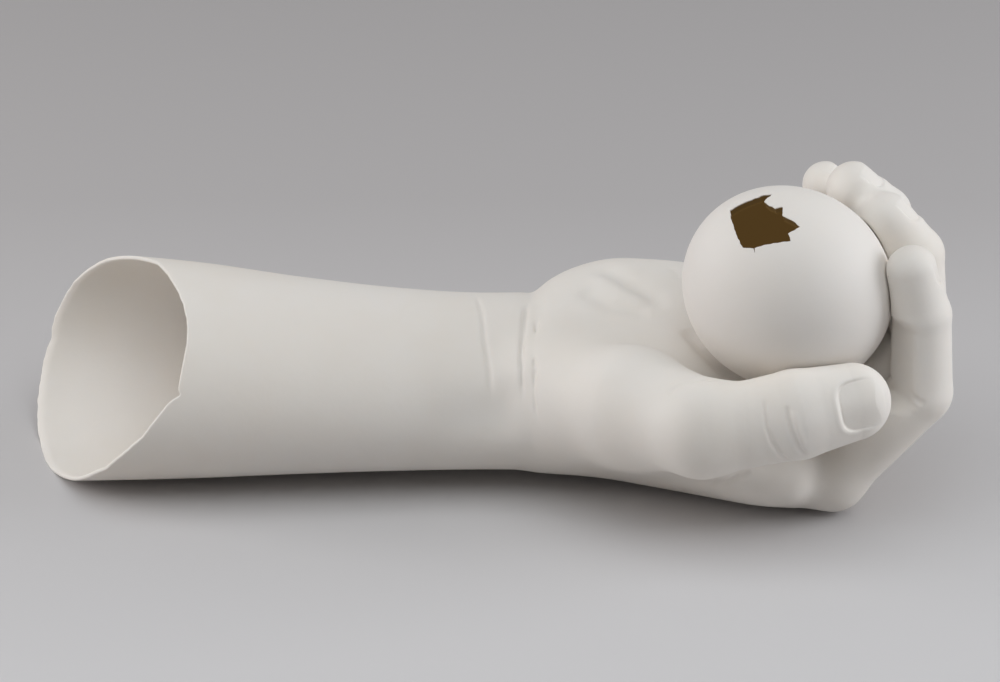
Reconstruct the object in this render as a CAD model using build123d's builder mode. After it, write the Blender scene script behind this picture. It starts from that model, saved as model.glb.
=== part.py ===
from build123d import *
import os
from dataclasses import dataclass
from math import copysign, cos, pi, radians, sin

# A life-size right hand and forearm in unglazed white porcelain, lying on its back, palm up.
# The forearm is a hollow tube, open at a slanting broken-off end, and its hollow runs on into the palm.
# The fingers and thumb curl up round a loose, thin-walled oval ball with a jagged hole near its top,
# coated brown inside. Sizes are millimetres. While the pieces are drawn, X runs from the forearm to the
# fingers and is zero at the wrist, Y runs from the thumb side to the little-finger side, and Z is zero
# at the feet. A value or table of shares holds plain factors of the sizes named beside it.

# Forearm
forearm_length = 150.0
rim_width = 81.0
rim_depth = 64.5
wrist_width = 66.0
wrist_depth = 47.5
wrist_lift = 2.8
forearm_wall = 2.4
rim_tilt_angle = 7.0
wrist_tilt_angle = 10.0
# Along, and how far the section has grown from the wrist's size to the rim's
forearm_station_shares = ((0.0, 0.0), (0.10, 0.0), (0.25, 0.12), (0.46, 0.42), (0.67, 0.80),
                          (0.85, 1.0), (1.12, 1.0))
# Two slanting planes leave the rim: how far each stands from the wrist at the arm's foot, and how fast
# it runs back towards the wrist per unit of Y and of Z
rim_plane_shares = ((0.937, -0.54, 0.45), (0.990, -0.40, 0.62))
rim_waste_share = 3.0

# Palm
palm_length = 91.5
palm_width = 78.0
palm_depth = 33.0
palm_wall = 3.2
# Along and across the palm, lift off the table, half width, palmar and dorsal depth, cup
palm_station_shares = (
    (0.10, 0.010, 0.10, 0.465, 0.76, 0.74, 0.08),
    (0.27, 0.020, 0.09, 0.505, 0.74, 0.78, 0.15),
    (0.45, -0.005, 0.04, 0.530, 0.70, 0.78, 0.17),
    (0.63, -0.045, 0.04, 0.550, 0.75, 0.68, 0.17),
    (0.82, -0.095, 0.02, 0.540, 0.75, 0.54, 0.16),
)
# Tilt with the little-finger side up, turn about Z, and lean back from the fingers
palm_station_angles = ((14.0, 0.0, 0.0), (17.0, 0.0, 0.0), (20.0, 1.0, 3.0), (20.5, 3.0, 9.0),
                      (16.0, 6.0, 17.0))
# The last section, which carries the fingers
knuckle_across_share = -0.13
knuckle_shares = (0.485, 0.50, 0.42, 0.16)
knuckle_angles = (10.0, 10.0, 24.0)
knuckle_squareness_share = 0.78

# Ball of the thumb: along and across the palm, up, and its size as a share of its full width and depth
thenar_width = 39.0
thenar_depth = 35.0
thenar_station_shares = ((0.14, -0.30, 0.99, 0.88), (0.40, -0.475, 1.165, 1.0))
thumb_root_shares = (0.60, -0.75, 1.288)
thumb_root_angles = (10.0, -14.0)
thumb_roll_angle = 28.0

# Pad on the little-finger side of the palm: where its middle lies along and across the palm, and up
pad_length = 50.0
pad_width = 27.0
pad_depth = 25.0
pad_place_shares = (0.52, 0.27, 1.28)
pad_axis_shares = (1.0, -0.10, 0.03)

# Digits: length from the root to the middle of the tip, and width at the middle joint
index_length = 79.5
middle_length = 89.8
ring_length = 86.7
little_length = 68.6
thumb_length = 46.0
index_width = 19.2
middle_width = 19.0
ring_width = 18.2
little_width = 16.8
thumb_width = 27.5
# Where each finger's root lies on the knuckle plane, across and towards the palm
finger_root_shares = {"index": (-0.335, 0.002), "middle": (-0.105, -0.048),
                      "ring": (0.120, -0.010), "little": (0.340, 0.090)}
# How much each phalanx narrows between its joints, and where the sections round a tip lie
waist_share = 0.95
tip_shares = (0.0, 0.25, 0.5, 0.7, 0.85, 0.95)

# Ball: its centre along and across the palm and over the knuckles, and the way its long axis points
ball_length = 65.2
ball_width = 60.8
ball_wall = 1.9
lining_thickness = 0.6
ball_gap = 0.35
ball_place_shares = (0.883, -0.262)
ball_seat_share = 0.773
ball_axis_shares = (0.85, -0.25, -0.47)
# The hole, and the way out through it
hole_size = 20.0
hole_way_shares = (-0.28, -0.27, 0.92)
hole_outline_shares = (
    (-0.51, 0.34), (-0.50, 0.13), (-0.44, -0.21), (-0.36, -0.47), (-0.20, -0.53), (0.0, -0.52),
    (0.34, -0.50), (0.32, -0.38), (0.50, -0.26), (0.44, -0.18), (0.27, -0.05), (0.28, 0.14),
    (0.17, 0.11), (0.07, 0.22), (0.02, 0.31), (0.13, 0.50), (0.01, 0.51), (-0.17, 0.44), (-0.38, 0.39),
)

# How deep the feet are rubbed flat
foot_cut = 0.7
oval_points = 16


def along_direction(lift, swing):
    """A unit direction: lift turns it from +X up towards +Z, swing turns it towards +Y."""
    up = radians(lift)
    side = radians(swing)
    return Vector(cos(up) * cos(side), sin(side), sin(up) * cos(side))


def hand_plane(centre, tilt, turn, lean):
    """A section plane of the arm or palm, its x to the little-finger side and its y to the palm."""
    roll = radians(tilt)
    yaw = radians(turn)
    ahead = Vector(cos(yaw), sin(yaw), 0)
    across = Vector(-sin(yaw) * cos(roll), cos(yaw) * cos(roll), sin(roll))
    normal = ahead * cos(radians(lean)) + ahead.cross(across) * sin(radians(lean))
    return Plane(origin=centre, x_dir=across, z_dir=normal)


def oval(plane, half_width, palmar, dorsal, cup=0.0, squareness=1.0):
    """A closed oval on a plane: squareness below 1 fills its corners, cup lifts both its edges."""
    points = []
    for step in range(oval_points):
        turn = 2 * pi * step / oval_points
        side = copysign(abs(cos(turn)) ** squareness, cos(turn))
        rise = copysign(abs(sin(turn)) ** squareness, sin(turn))
        depth = palmar if rise > 0 else dorsal
        points.append((half_width * side, depth * rise + cup * side**2))
    with BuildSketch(plane) as section:
        with BuildLine():
            Spline(*points, periodic=True)
        make_face()
    return section.sketch


def resting_height(turns, shape):
    """How high a section's centre stands when the section just touches the table."""
    return -oval(hand_plane((0, 0, 0), *turns), *shape).bounding_box().min.Z


def forearm_sections(wall):
    """Ovals from the wrist to beyond the rim, drawn in by a wall."""
    sections = []
    for along, growth in forearm_station_shares:
        half_width = (wrist_width + (rim_width - wrist_width) * growth) / 2
        half_depth = (wrist_depth + (rim_depth - wrist_depth) * growth) / 2
        turns = (wrist_tilt_angle + (rim_tilt_angle - wrist_tilt_angle) * growth, 0, 0)
        lift = wrist_lift * (1 - growth) - foot_cut * growth
        height = resting_height(turns, (half_width, half_depth, half_depth)) + lift
        plane = hand_plane((-forearm_length * along, 0, height), *turns)
        sections.append(oval(plane, half_width - wall, half_depth - wall, half_depth - wall))
    return sections


def rim_plane(reach, across_slope, up_slope):
    """One of the planes that leave the rim, facing away from the wrist."""
    facing = Vector(-1, across_slope, up_slope)
    return Plane(origin=(-forearm_length * reach, 0, 0), z_dir=facing)


def knuckle_shape(wall):
    """Half width, depths, cup and squareness of the section that carries the fingers."""
    half, palmar, dorsal, cup = knuckle_shares
    depths = (palm_depth * palmar - wall, palm_depth * dorsal - wall)
    return palm_width * half - wall, *depths, palm_depth * cup, knuckle_squareness_share


knuckle_height = resting_height(knuckle_angles, knuckle_shape(0)) - foot_cut
knuckle_centre = Vector(palm_length, palm_width * knuckle_across_share, knuckle_height)
knuckle_plane = hand_plane(knuckle_centre, *knuckle_angles)


def palm_sections(wall):
    """Ovals from the wrist to the knuckles, drawn in by a wall that also closes the far end."""
    wrist_half = (wrist_width / 2, wrist_depth / 2, wrist_depth / 2)
    wrist_turns = (wrist_tilt_angle, 0, 0)
    wrist_centre = (0, 0, resting_height(wrist_turns, wrist_half) + wrist_lift)
    sections = [oval(hand_plane(wrist_centre, *wrist_turns), *(size - wall for size in wrist_half))]
    for shares, turns in zip(palm_station_shares, palm_station_angles):
        along, across, lift, half, palmar, dorsal, cup = shares
        outer = (palm_width * half, palm_depth * palmar, palm_depth * dorsal)
        height = resting_height(turns, (*outer, palm_depth * cup)) + palm_depth * lift
        plane = hand_plane((palm_length * along, palm_width * across, height), *turns)
        sections.append(oval(plane, *(size - wall for size in outer), palm_depth * cup))
    sections.append(oval(knuckle_plane.offset(-wall), *knuckle_shape(wall)))
    return sections


@dataclass
class Digit:
    """A finger or thumb: the plane of its root, its sizes, and the lift and swing of each phalanx."""

    root: Plane
    length: float
    width: float
    phalanx_shares: tuple
    width_shares: tuple
    depth_share: float
    lifts: tuple
    swings: tuple

    def centres(self):
        """The middle of the root, of each joint and of the tip."""
        points = [self.root.origin]
        for share, lift, swing in zip(self.phalanx_shares, self.lifts, self.swings):
            points.append(points[-1] + along_direction(lift, swing) * (self.length * share))
        return points

    def section(self, centre, along, half_width):
        """One oval square to the digit, its width in line with the root's."""
        plane = Plane(origin=centre, x_dir=self.root.x_dir, z_dir=along)
        half_depth = half_width * self.depth_share
        return oval(plane, half_width, half_depth, half_depth)

    def spans(self):
        """Groups of sections to loft through: one for each phalanx, and the last round the tip."""
        points = self.centres()
        ways = [(after - before).normalized() for before, after in zip(points, points[1:])]
        bends = [self.root.z_dir, *((a + b).normalized() for a, b in zip(ways, ways[1:])), ways[-1]]
        halves = [self.width / 2 * share for share in self.width_shares]
        joints = [self.section(*joint) for joint in zip(points, bends, halves)]
        spans = []
        for index, way in enumerate(ways):
            middle = (points[index] + points[index + 1]) / 2
            waist = self.section(middle, way, (halves[index] + halves[index + 1]) / 2 * waist_share)
            spans.append((joints[index], waist, joints[index + 1]))
        tip = []
        for share in tip_shares:
            centre = points[-1] + ways[-1] * (halves[-1] * sin(share * pi / 2))
            tip.append(self.section(centre, ways[-1], halves[-1] * cos(share * pi / 2)))
        return spans, tip


def finger_root(name):
    """The knuckle plane moved to one finger's root."""
    across, palmar = finger_root_shares[name]
    origin = knuckle_plane.from_local_coords((palm_width * across, palm_width * palmar, 0))
    return Plane(origin=origin, x_dir=knuckle_plane.x_dir, z_dir=knuckle_plane.z_dir)


def over_palm(shares):
    """A point given as shares along the palm, across it and of its depth above the table."""
    along, across, up = shares
    return Vector(palm_length * along, palm_width * across, palm_depth * up)


def egg(place, half_length, half_width, half_depth):
    """An oval solid laid on a plane: a unit ball stretched to its sizes."""
    with BuildPart() as solid:
        Sphere(1)
        scale(by=(half_length, half_width, half_depth))
    return solid.part.moved(Location(place))


thumb_origin = over_palm(thumb_root_shares)
thumb_across = Vector(0, -sin(radians(thumb_roll_angle)), cos(radians(thumb_roll_angle)))
thumb_root = Plane(origin=thumb_origin, x_dir=thumb_across, z_dir=along_direction(*thumb_root_angles))

digits = {
    "index_finger": Digit(
        root=finger_root("index"), length=index_length, width=index_width,
        phalanx_shares=(0.548, 0.286, 0.166), width_shares=(1.03, 1.0, 0.90, 0.84), depth_share=1.05,
        lifts=(55.2, 90.5, 104.0), swings=(3.0, 5.0, 6.0)),
    "middle_finger": Digit(
        root=finger_root("middle"), length=middle_length, width=middle_width,
        phalanx_shares=(0.565, 0.285, 0.150), width_shares=(0.96, 1.0, 0.93, 0.86), depth_share=1.05,
        lifts=(55.3, 98.0, 133.0), swings=(2.6, 14.5, 14.0)),
    "ring_finger": Digit(
        root=finger_root("ring"), length=ring_length, width=ring_width,
        phalanx_shares=(0.578, 0.275, 0.147), width_shares=(0.98, 1.0, 0.92, 0.86), depth_share=1.05,
        lifts=(61.3, 96.5, 138.0), swings=(1.5, 17.5, 3.0)),
    "little_finger": Digit(
        root=finger_root("little"), length=little_length, width=little_width,
        phalanx_shares=(0.597, 0.249, 0.154), width_shares=(1.04, 1.0, 0.92, 0.86), depth_share=1.05,
        lifts=(62.4, 93.5, 135.5), swings=(6.0, 15.0, -4.0)),
    "thumb": Digit(
        root=thumb_root, length=thumb_length, width=thumb_width,
        phalanx_shares=(0.644, 0.356), width_shares=(1.08, 1.0, 0.86), depth_share=0.80,
        lifts=(6.5, 7.0), swings=(6.5, 12.0)),
}


def thenar_sections(wall):
    """Ovals of the ball of the thumb, from inside the palm to the thumb's root, drawn in by a wall."""
    stations = []
    for *place_shares, size_share in thenar_station_shares:
        centre = over_palm(place_shares)
        way = (thumb_origin - centre).normalized()
        stations.append((centre, way, thenar_width / 2 * size_share, thenar_depth / 2 * size_share))
    root_half = thumb_width / 2 * digits["thumb"].width_shares[0]
    stations.append((thumb_origin - thumb_root.z_dir * wall, thumb_root.z_dir,
                     root_half, root_half * digits["thumb"].depth_share))
    sections = []
    for centre, way, half_width, half_depth in stations:
        plane = Plane(origin=centre, x_dir=thumb_across, z_dir=way)
        sections.append(oval(plane, half_width - wall, half_depth - wall, half_depth - wall))
    return sections


pad_axis = Vector(*pad_axis_shares).normalized()
pad_plane = Plane(origin=over_palm(pad_place_shares), x_dir=pad_axis, z_dir=pad_axis.cross(Vector(0, 1, 0)))
palm_pad = egg(pad_plane, pad_length / 2, pad_width / 2, pad_depth / 2)

ball_axis = Vector(*ball_axis_shares).normalized()
ball_half = Vector(ball_length / 2 * ball_axis.Z, ball_width / 2 * (1 - ball_axis.Z**2) ** 0.5, 0).length
ball_centre = Vector(palm_length * ball_place_shares[0], palm_width * ball_place_shares[1],
                     knuckle_height + palm_depth * ball_seat_share + ball_gap + ball_half)
hole_way = Vector(*hole_way_shares).normalized()


ball_plane = Plane(origin=ball_centre, x_dir=ball_axis, z_dir=ball_axis.cross(hole_way))


def oval_ball(inset):
    """The solid ball drawn in by inset."""
    half_width = ball_width / 2 - inset
    return egg(ball_plane, ball_length / 2 - inset, half_width, half_width)


# The space round the ball that the hand leaves free
ball_room = oval_ball(-ball_gap)

# Everything beyond the slanting rim
rim_waste_size = forearm_length * rim_waste_share
with BuildPart() as rim_waste:
    Box(rim_waste_size, rim_waste_size, rim_waste_size)
    for plane_shares in rim_plane_shares:
        split(bisect_by=rim_plane(*plane_shares), keep=Keep.TOP)

with BuildPart() as forearm_shell:
    loft(sections=forearm_sections(0))
    loft(sections=forearm_sections(forearm_wall), mode=Mode.SUBTRACT)
    add(rim_waste.part, mode=Mode.SUBTRACT)
    split(bisect_by=Plane.XY, keep=Keep.TOP)

with BuildPart() as palm_shell:
    loft(sections=palm_sections(0))
    loft(sections=thenar_sections(0))
    add(palm_pad)
    loft(sections=palm_sections(palm_wall), mode=Mode.SUBTRACT)
    loft(sections=thenar_sections(palm_wall), mode=Mode.SUBTRACT)
    add(ball_room, mode=Mode.SUBTRACT)
    split(bisect_by=Plane.XY, keep=Keep.TOP)

pieces = {"forearm_shell": forearm_shell.part, "palm_shell": palm_shell.part}

# Each digit gives way to the ball and to the digit made before it, and its underside is rubbed flat
beside = None
for name, digit in digits.items():
    phalanges, tip = digit.spans()
    with BuildPart() as finger:
        for phalanx in phalanges:
            loft(sections=phalanx)
        loft(sections=tip, ruled=True)
        if beside:
            add(beside, mode=Mode.SUBTRACT)
        add(ball_room, mode=Mode.SUBTRACT)
        split(bisect_by=Plane.XY, keep=Keep.TOP)
    beside = finger.part
    pieces[name] = finger.part

with BuildPart() as hole_waste:
    with BuildSketch(Plane(origin=ball_centre, x_dir=(1, 0, 0), z_dir=hole_way)):
        with BuildLine():
            Polyline(*((hole_size * x, hole_size * y) for x, y in hole_outline_shares), close=True)
        make_face()
    extrude(amount=ball_length)

for name, outside, inside in (("ball_shell", 0, ball_wall),
                              ("ball_lining", ball_wall, ball_wall + lining_thickness)):
    with BuildPart() as ball_piece:
        add(oval_ball(outside))
        add(oval_ball(inside), mode=Mode.SUBTRACT)
        add(hole_waste.part, mode=Mode.SUBTRACT)
    pieces[name] = ball_piece.part

# The origin goes to the middle of the whole part's length and width, on the table
box = Compound(list(pieces.values())).bounding_box()
to_origin = Location((-(box.min.X + box.max.X) / 2, -(box.min.Y + box.max.Y) / 2, 0))

os.makedirs("parts", exist_ok=True)
for name, piece in pieces.items():
    placed = piece.moved(to_origin)
    placed.label = name
    export_step(placed, f"parts/{name}.step")
    print(name, "valid" if placed.is_valid else "not valid", len(placed.solids()), round(placed.volume))
print("moved by", [round(value, 2) for value in to_origin.position], "box", box.size)
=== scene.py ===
"""A life-size porcelain hand and forearm, lying palm up round a loose oval ball with a jagged hole.

The hand is modelled as a sculptor would: rounded forms are laid on one another and softened together, then
creases are pressed in and the nails are cut. The forms are kept as a distance field in millimetres, measured
from the wrist: X towards the fingers, Y towards the little finger and Z up. The field is skinned once, and
the skin is shared out between the palm and the digits.
"""

import itertools
import logging
import math
from collections.abc import Iterator
from dataclasses import dataclass, field
from enum import Enum

import bpy
import numpy as np
import openvdb
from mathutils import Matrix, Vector


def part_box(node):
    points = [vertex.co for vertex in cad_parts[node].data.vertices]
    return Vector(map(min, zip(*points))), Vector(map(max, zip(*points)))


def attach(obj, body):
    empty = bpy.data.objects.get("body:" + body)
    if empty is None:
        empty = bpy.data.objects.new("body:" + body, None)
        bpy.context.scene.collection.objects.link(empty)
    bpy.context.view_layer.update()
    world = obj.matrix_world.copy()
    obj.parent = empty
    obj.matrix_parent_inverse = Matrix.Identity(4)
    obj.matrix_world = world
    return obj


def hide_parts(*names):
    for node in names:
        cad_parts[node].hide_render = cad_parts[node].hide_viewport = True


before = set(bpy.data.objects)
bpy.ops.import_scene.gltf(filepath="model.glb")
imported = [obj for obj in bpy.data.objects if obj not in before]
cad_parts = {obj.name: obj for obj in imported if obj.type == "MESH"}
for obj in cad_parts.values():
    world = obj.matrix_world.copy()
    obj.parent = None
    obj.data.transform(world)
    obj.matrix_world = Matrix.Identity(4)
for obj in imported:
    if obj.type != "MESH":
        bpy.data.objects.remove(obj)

Array = np.ndarray
Point = tuple[float, float, float]
Pair = tuple[float, float]
Sockets = bpy.types.bpy_prop_collection

MM = 0.001
SEED = 11
FAR = 50.0
TINY = 1e-6
VIEW_LIFT = math.radians(28.0)
UP_IN_VIEW = np.array([0.0, math.sin(VIEW_LIFT), math.cos(VIEW_LIFT)])
TO_CAMERA = np.array([0.0, -math.cos(VIEW_LIFT), math.sin(VIEW_LIFT)])

log = logging.getLogger("porcelain_hand")


def unit(vector: Array | Point) -> Array:
    """The vector at length one."""
    vector = np.asarray(vector, float)
    return vector / np.linalg.norm(vector)


def triple(x: float, y: float, z: float) -> Array:
    """A point or direction as an array."""
    return np.array([x, y, z], float)


def own_axes(along: Array | Point, upwards: Array | Point) -> Array:
    """Three axes as rows: along a way, across it, and at right angles to both, roughly upwards."""
    first = unit(along)
    upwards = np.asarray(upwards, float)
    third = unit(upwards - first * (first @ upwards))
    return np.array([first, np.cross(third, first), third])


def melt(a: Array, b: Array, softness: float) -> Array:
    """Joins two distance fields with a rounded fillet.

    Args:
        a: distances to the first form.
        b: distances to the second form.
        softness: how far the fillet reaches, in millimetres.

    Returns:
        Distances to the joined form.
    """
    overlap = np.maximum(softness - np.abs(a - b), 0.0) / softness
    return np.minimum(a, b) - overlap * overlap * softness / 4


def ease(value: Array) -> Array:
    """A smooth step from 0 to 1."""
    value = np.clip(value, 0.0, 1.0)
    return value * value * (3 - 2 * value)


class Joining(Enum):
    """How a form goes onto the ones before it."""

    ADD = "add"
    CUT = "cut"


class Form:
    """A shape in the distance field, with a ball that it lies in."""

    centre: Array
    reach: float

    def apply(self, points: Array, distance: Array) -> Array:
        """Works the form into the distances that the forms before it left."""
        raise NotImplementedError

    def lie_round(self, points: Array, margin: float) -> None:
        """Sets the ball that holds points and a margin round them."""
        self.centre = points.mean(0)
        self.reach = float(np.linalg.norm(points - self.centre, axis=1).max() + margin)


class Lump(Form):
    """A form that melts into the clay or is cut out of it."""

    softness: float
    how: Joining

    def distance(self, points: Array) -> Array:
        """Distances from points to the form's skin."""
        raise NotImplementedError

    def apply(self, points: Array, distance: Array) -> Array:
        """Adds the form to the field or cuts it away."""
        own = self.distance(points)
        if self.how is Joining.CUT:
            return -melt(-distance, own, self.softness)
        return melt(distance, own, self.softness)


@dataclass
class Limb(Lump):
    """A rounded stick through several points, flattened across one way, as bone and flesh together.

    Args:
        points: the middle of each joint.
        radii: half the width at each point.
        softness: how far it melts into what it joins.
        flat: its depth as a share of its width.
        flat_way: the way in which it is flattened.
        waist: how much thinner each stretch gets between its ends.
        bend: how softly one stretch runs into the next.
        how: whether it is added or cut away.
    """

    points: tuple[Point, ...]
    radii: tuple[float, ...]
    softness: float = 6.0
    flat: float = 1.0
    flat_way: Point = (0.0, 0.0, 1.0)
    waist: float = 0.0
    bend: float = 0.8
    how: Joining = Joining.ADD

    def __post_init__(self) -> None:
        """Works out the ball that the limb lies in."""
        self.lie_round(np.asarray(self.points, float), max(self.radii))

    def distance(self, points: Array) -> Array:
        """Distances from points to the limb's skin."""
        stops = np.asarray(self.points, float)
        way = unit(self.flat_way)
        result = None
        for start, end, first, last in zip(stops, stops[1:], self.radii, self.radii[1:]):
            along = end - start
            length = float(along @ along)
            offset = points - start
            share = np.clip(offset @ along / length, 0.0, 1.0)
            offset = offset - share[:, None] * along
            if self.flat != 1.0:
                offset = offset + (offset @ way * (1 / self.flat - 1))[:, None] * way
            radius = first + (last - first) * share - self.waist * np.sin(math.pi * share) ** 2
            stretch = np.linalg.norm(offset, axis=1) - radius
            if self.flat != 1.0:
                stretch = stretch * (1 + self.flat) / 2
            result = stretch if result is None else melt(result, stretch, self.bend)
        return result


@dataclass
class Mound(Lump):
    """An ellipsoid of flesh, or a hollow of that shape.

    Args:
        middle: its centre.
        radii: its three half lengths, along, across and upwards.
        along: the way of the first half length.
        upwards: roughly the way of the third.
        softness: how far it melts into what it joins.
        how: whether it is added or cut away.
    """

    middle: Point
    radii: Point
    along: Point = (1.0, 0.0, 0.0)
    upwards: Point = (0.0, 0.0, 1.0)
    softness: float = 6.0
    how: Joining = Joining.ADD

    def __post_init__(self) -> None:
        """Sets up the mound's own axes."""
        self.centre = np.asarray(self.middle, float)
        self.reach = max(self.radii)
        self.axes = own_axes(self.along, self.upwards)

    def distance(self, points: Array) -> Array:
        """Distances from points to the mound's skin."""
        local = (points - self.centre) @ self.axes.T
        radii = np.asarray(self.radii, float)
        near = np.linalg.norm(local / radii, axis=1)
        slope = np.linalg.norm(local / radii**2, axis=1)
        return near * (near - 1) / np.maximum(slope, TINY)


@dataclass
class Groove(Form):
    """A line drawn into the skin; a negative depth raises a ridge.

    Args:
        points: where it runs.
        width: how wide it is, from its middle to where it has nearly gone.
        depth: how deep it is at its middle.
        ends: over what part of its length it fades out, as the share that one is of it.
        start: how deep it is at its very ends, on the way to its full depth.
        narrow: below what width it needs finer faces.
    """

    points: Array
    width: float
    depth: float
    ends: float = 5.0
    start: float = 0.15
    narrow: float = 1.4

    def __post_init__(self) -> None:
        """Works out the ball that the groove lies in."""
        self.points = np.asarray(self.points, float)
        self.lie_round(self.points, 3 * self.width)

    def apply(self, points: Array, distance: Array) -> Array:
        """Lowers the skin along the line, fading out at both ends."""
        gap, place = self.follow(points)
        fade = ease(np.minimum(place, 1 - place) * self.ends + self.start)
        return distance + self.depth * fade * np.exp(-((gap / self.width) ** 2))

    def follow(self, points: Array) -> tuple[Array, Array]:
        """How far each point is from the line, and how far along it that is as a share."""
        best = np.full(len(points), np.inf)
        place = np.zeros(len(points))
        lengths = np.linalg.norm(np.diff(self.points, axis=0), axis=1)
        whole = max(lengths.sum(), TINY)
        done = 0.0
        for start, end, length in zip(self.points, self.points[1:], lengths):
            along = end - start
            offset = points - start
            share = np.clip(offset @ along / max(length**2, TINY), 0.0, 1.0)
            gap = np.linalg.norm(offset - share[:, None] * along, axis=1)
            closer = gap < best
            best = np.where(closer, gap, best)
            place = np.where(closer, (done + share * length) / whole, place)
            done += length
        return best, place

    def near(self, points: Array) -> Array:
        """Which points lie where a narrow groove bends the skin; a broad one needs no finer faces."""
        if self.width >= self.narrow:
            return np.zeros(len(points), bool)
        return self.follow(points)[0] < 1.8 * self.width + 0.4


@dataclass
class Facet(Groove):
    """A flat side on a digit, beside a line that runs inside it.

    Args:
        width: how far from the line it reaches.
        depth: how far from the line it lies.
        ends: as in a groove.
        start: as in a groove.
        narrow: as in a groove; a flat needs no finer faces.
        facing: the way in which it faces.
        fringe: how wide the stretch is in which it fades out sideways.
        softness: how rounded its edges are.
    """

    ends: float = 6.0
    start: float = 0.0
    narrow: float = 0.0
    facing: Point = (-1.0, 0.0, 0.0)
    fringe: float = 2.0
    softness: float = 1.2

    def apply(self, points: Array, distance: Array) -> Array:
        """Rubs the skin flat beside the line, fading out at both ends."""
        gap, place = self.follow(points)
        lengthways = ease(np.minimum(place, 1 - place) * self.ends + self.start)
        fade = lengthways * ease((self.width - gap) / self.fringe)
        plane = (points - self.points[0]) @ unit(self.facing) - self.depth
        return distance + fade * (-melt(-distance, -plane, self.softness) - distance)


@dataclass
class Swell(Form):
    """A soft rise or, with a negative height, a soft hollow in the skin.

    Args:
        middle: its centre.
        width: how wide it is.
        height: how high it is at its centre.
        spread: how many widths away it has gone.
    """

    middle: Point
    width: float
    height: float
    spread: float = 2.6

    def __post_init__(self) -> None:
        """Works out the ball that the swelling lies in."""
        self.centre = np.asarray(self.middle, float)
        self.reach = self.spread * self.width

    def apply(self, points: Array, distance: Array) -> Array:
        """Raises or lowers the skin round the middle."""
        gap = ((points - self.centre) ** 2).sum(1)
        return distance - self.height * np.exp(-gap / self.width**2)


@dataclass
class Nail(Form):
    """A nail set into the back of a fingertip, with a fold of skin round it.

    Args:
        middle: the middle of the nail.
        along: the way towards the tip.
        outwards: the way in which the nail faces.
        half_length: half its length.
        half_width: half its width.
        fold: how far the skin rises round it.
        groove: how deep the groove round it is, as a share of its half width.
        squareness: how square its outline is; two would make it oval.
        arch: how flat it is from side to side, from its half width.
        dip: how flat it is towards the tip, from its half length.
        depth: how far under it the finger is still worked.
        edge_width: how wide the edge of the plate is.
        groove_place: how far outside the edge the groove's middle lies.
        groove_width: how wide the groove is.
        front_groove: how much of the groove is left at the tip, as a share.
        fold_place: how far outside the edge the fold's top lies.
        fold_width: how wide the fold is.
        front: the share of the half length at which the fold has gone.
        fading: the share of the half length over which it goes.
        around: the share of its size within which the faces are fine.
        grip: the share of its size within which it works on the skin.
    """

    middle: Array
    along: Array
    outwards: Array
    half_length: float
    half_width: float
    fold: float
    groove: float
    squareness: float = 3.4
    arch: float = 2.4
    dip: float = 7.0
    depth: float = 4.0
    edge_width: float = 0.8
    groove_place: float = 0.15
    groove_width: float = 0.5
    front_groove: float = 0.45
    fold_place: float = 1.3
    fold_width: float = 0.8
    front: float = 0.75
    fading: float = 0.6
    around: float = 1.45
    grip: float = 1.8

    def __post_init__(self) -> None:
        """Sets up the nail's own axes."""
        self.centre = np.asarray(self.middle, float)
        self.reach = self.grip * max(self.half_length, self.half_width)
        self.axes = own_axes(self.along, self.outwards)

    def apply(self, points: Array, distance: Array) -> Array:
        """Cuts the plate flat, draws the groove round it and raises the fold behind it."""
        ahead, aside, above = ((points - self.centre) @ self.axes.T).T
        facing = ease((above + self.depth) / self.depth)
        shares = np.abs(ahead / self.half_length), np.abs(aside / self.half_width)
        outline = sum(share**self.squareness for share in shares) ** (1 / self.squareness)
        edge = (outline - 1) * min(self.half_length, self.half_width)
        plate = (above + aside * aside / (self.arch * self.half_width)
                 + np.maximum(ahead, 0.0) ** 2 / (self.dip * self.half_length))
        inside = ease(-edge / self.edge_width + 0.5) * facing
        distance = distance + inside * np.maximum(plate - distance, 0.0)
        behind = ease((self.front - ahead / self.half_length) / self.fading)
        groove = np.exp(-(((edge - self.groove_place) / self.groove_width) ** 2))
        strength = self.front_groove + (1 - self.front_groove) * behind
        groove = groove * self.groove * self.half_width * strength
        fold = self.fold * np.exp(-(((edge - self.fold_place) / self.fold_width) ** 2)) * behind
        return distance + facing * (groove - fold)

    def near(self, points: Array) -> Array:
        """Which points lie on or just round the nail."""
        ahead, aside, above = ((points - self.centre) @ self.axes.T).T
        lengthways = np.abs(ahead) < self.around * self.half_length
        sideways = np.abs(aside) < self.around * self.half_width
        return lengthways & sideways & (above > -self.depth - 0.5)


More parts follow.
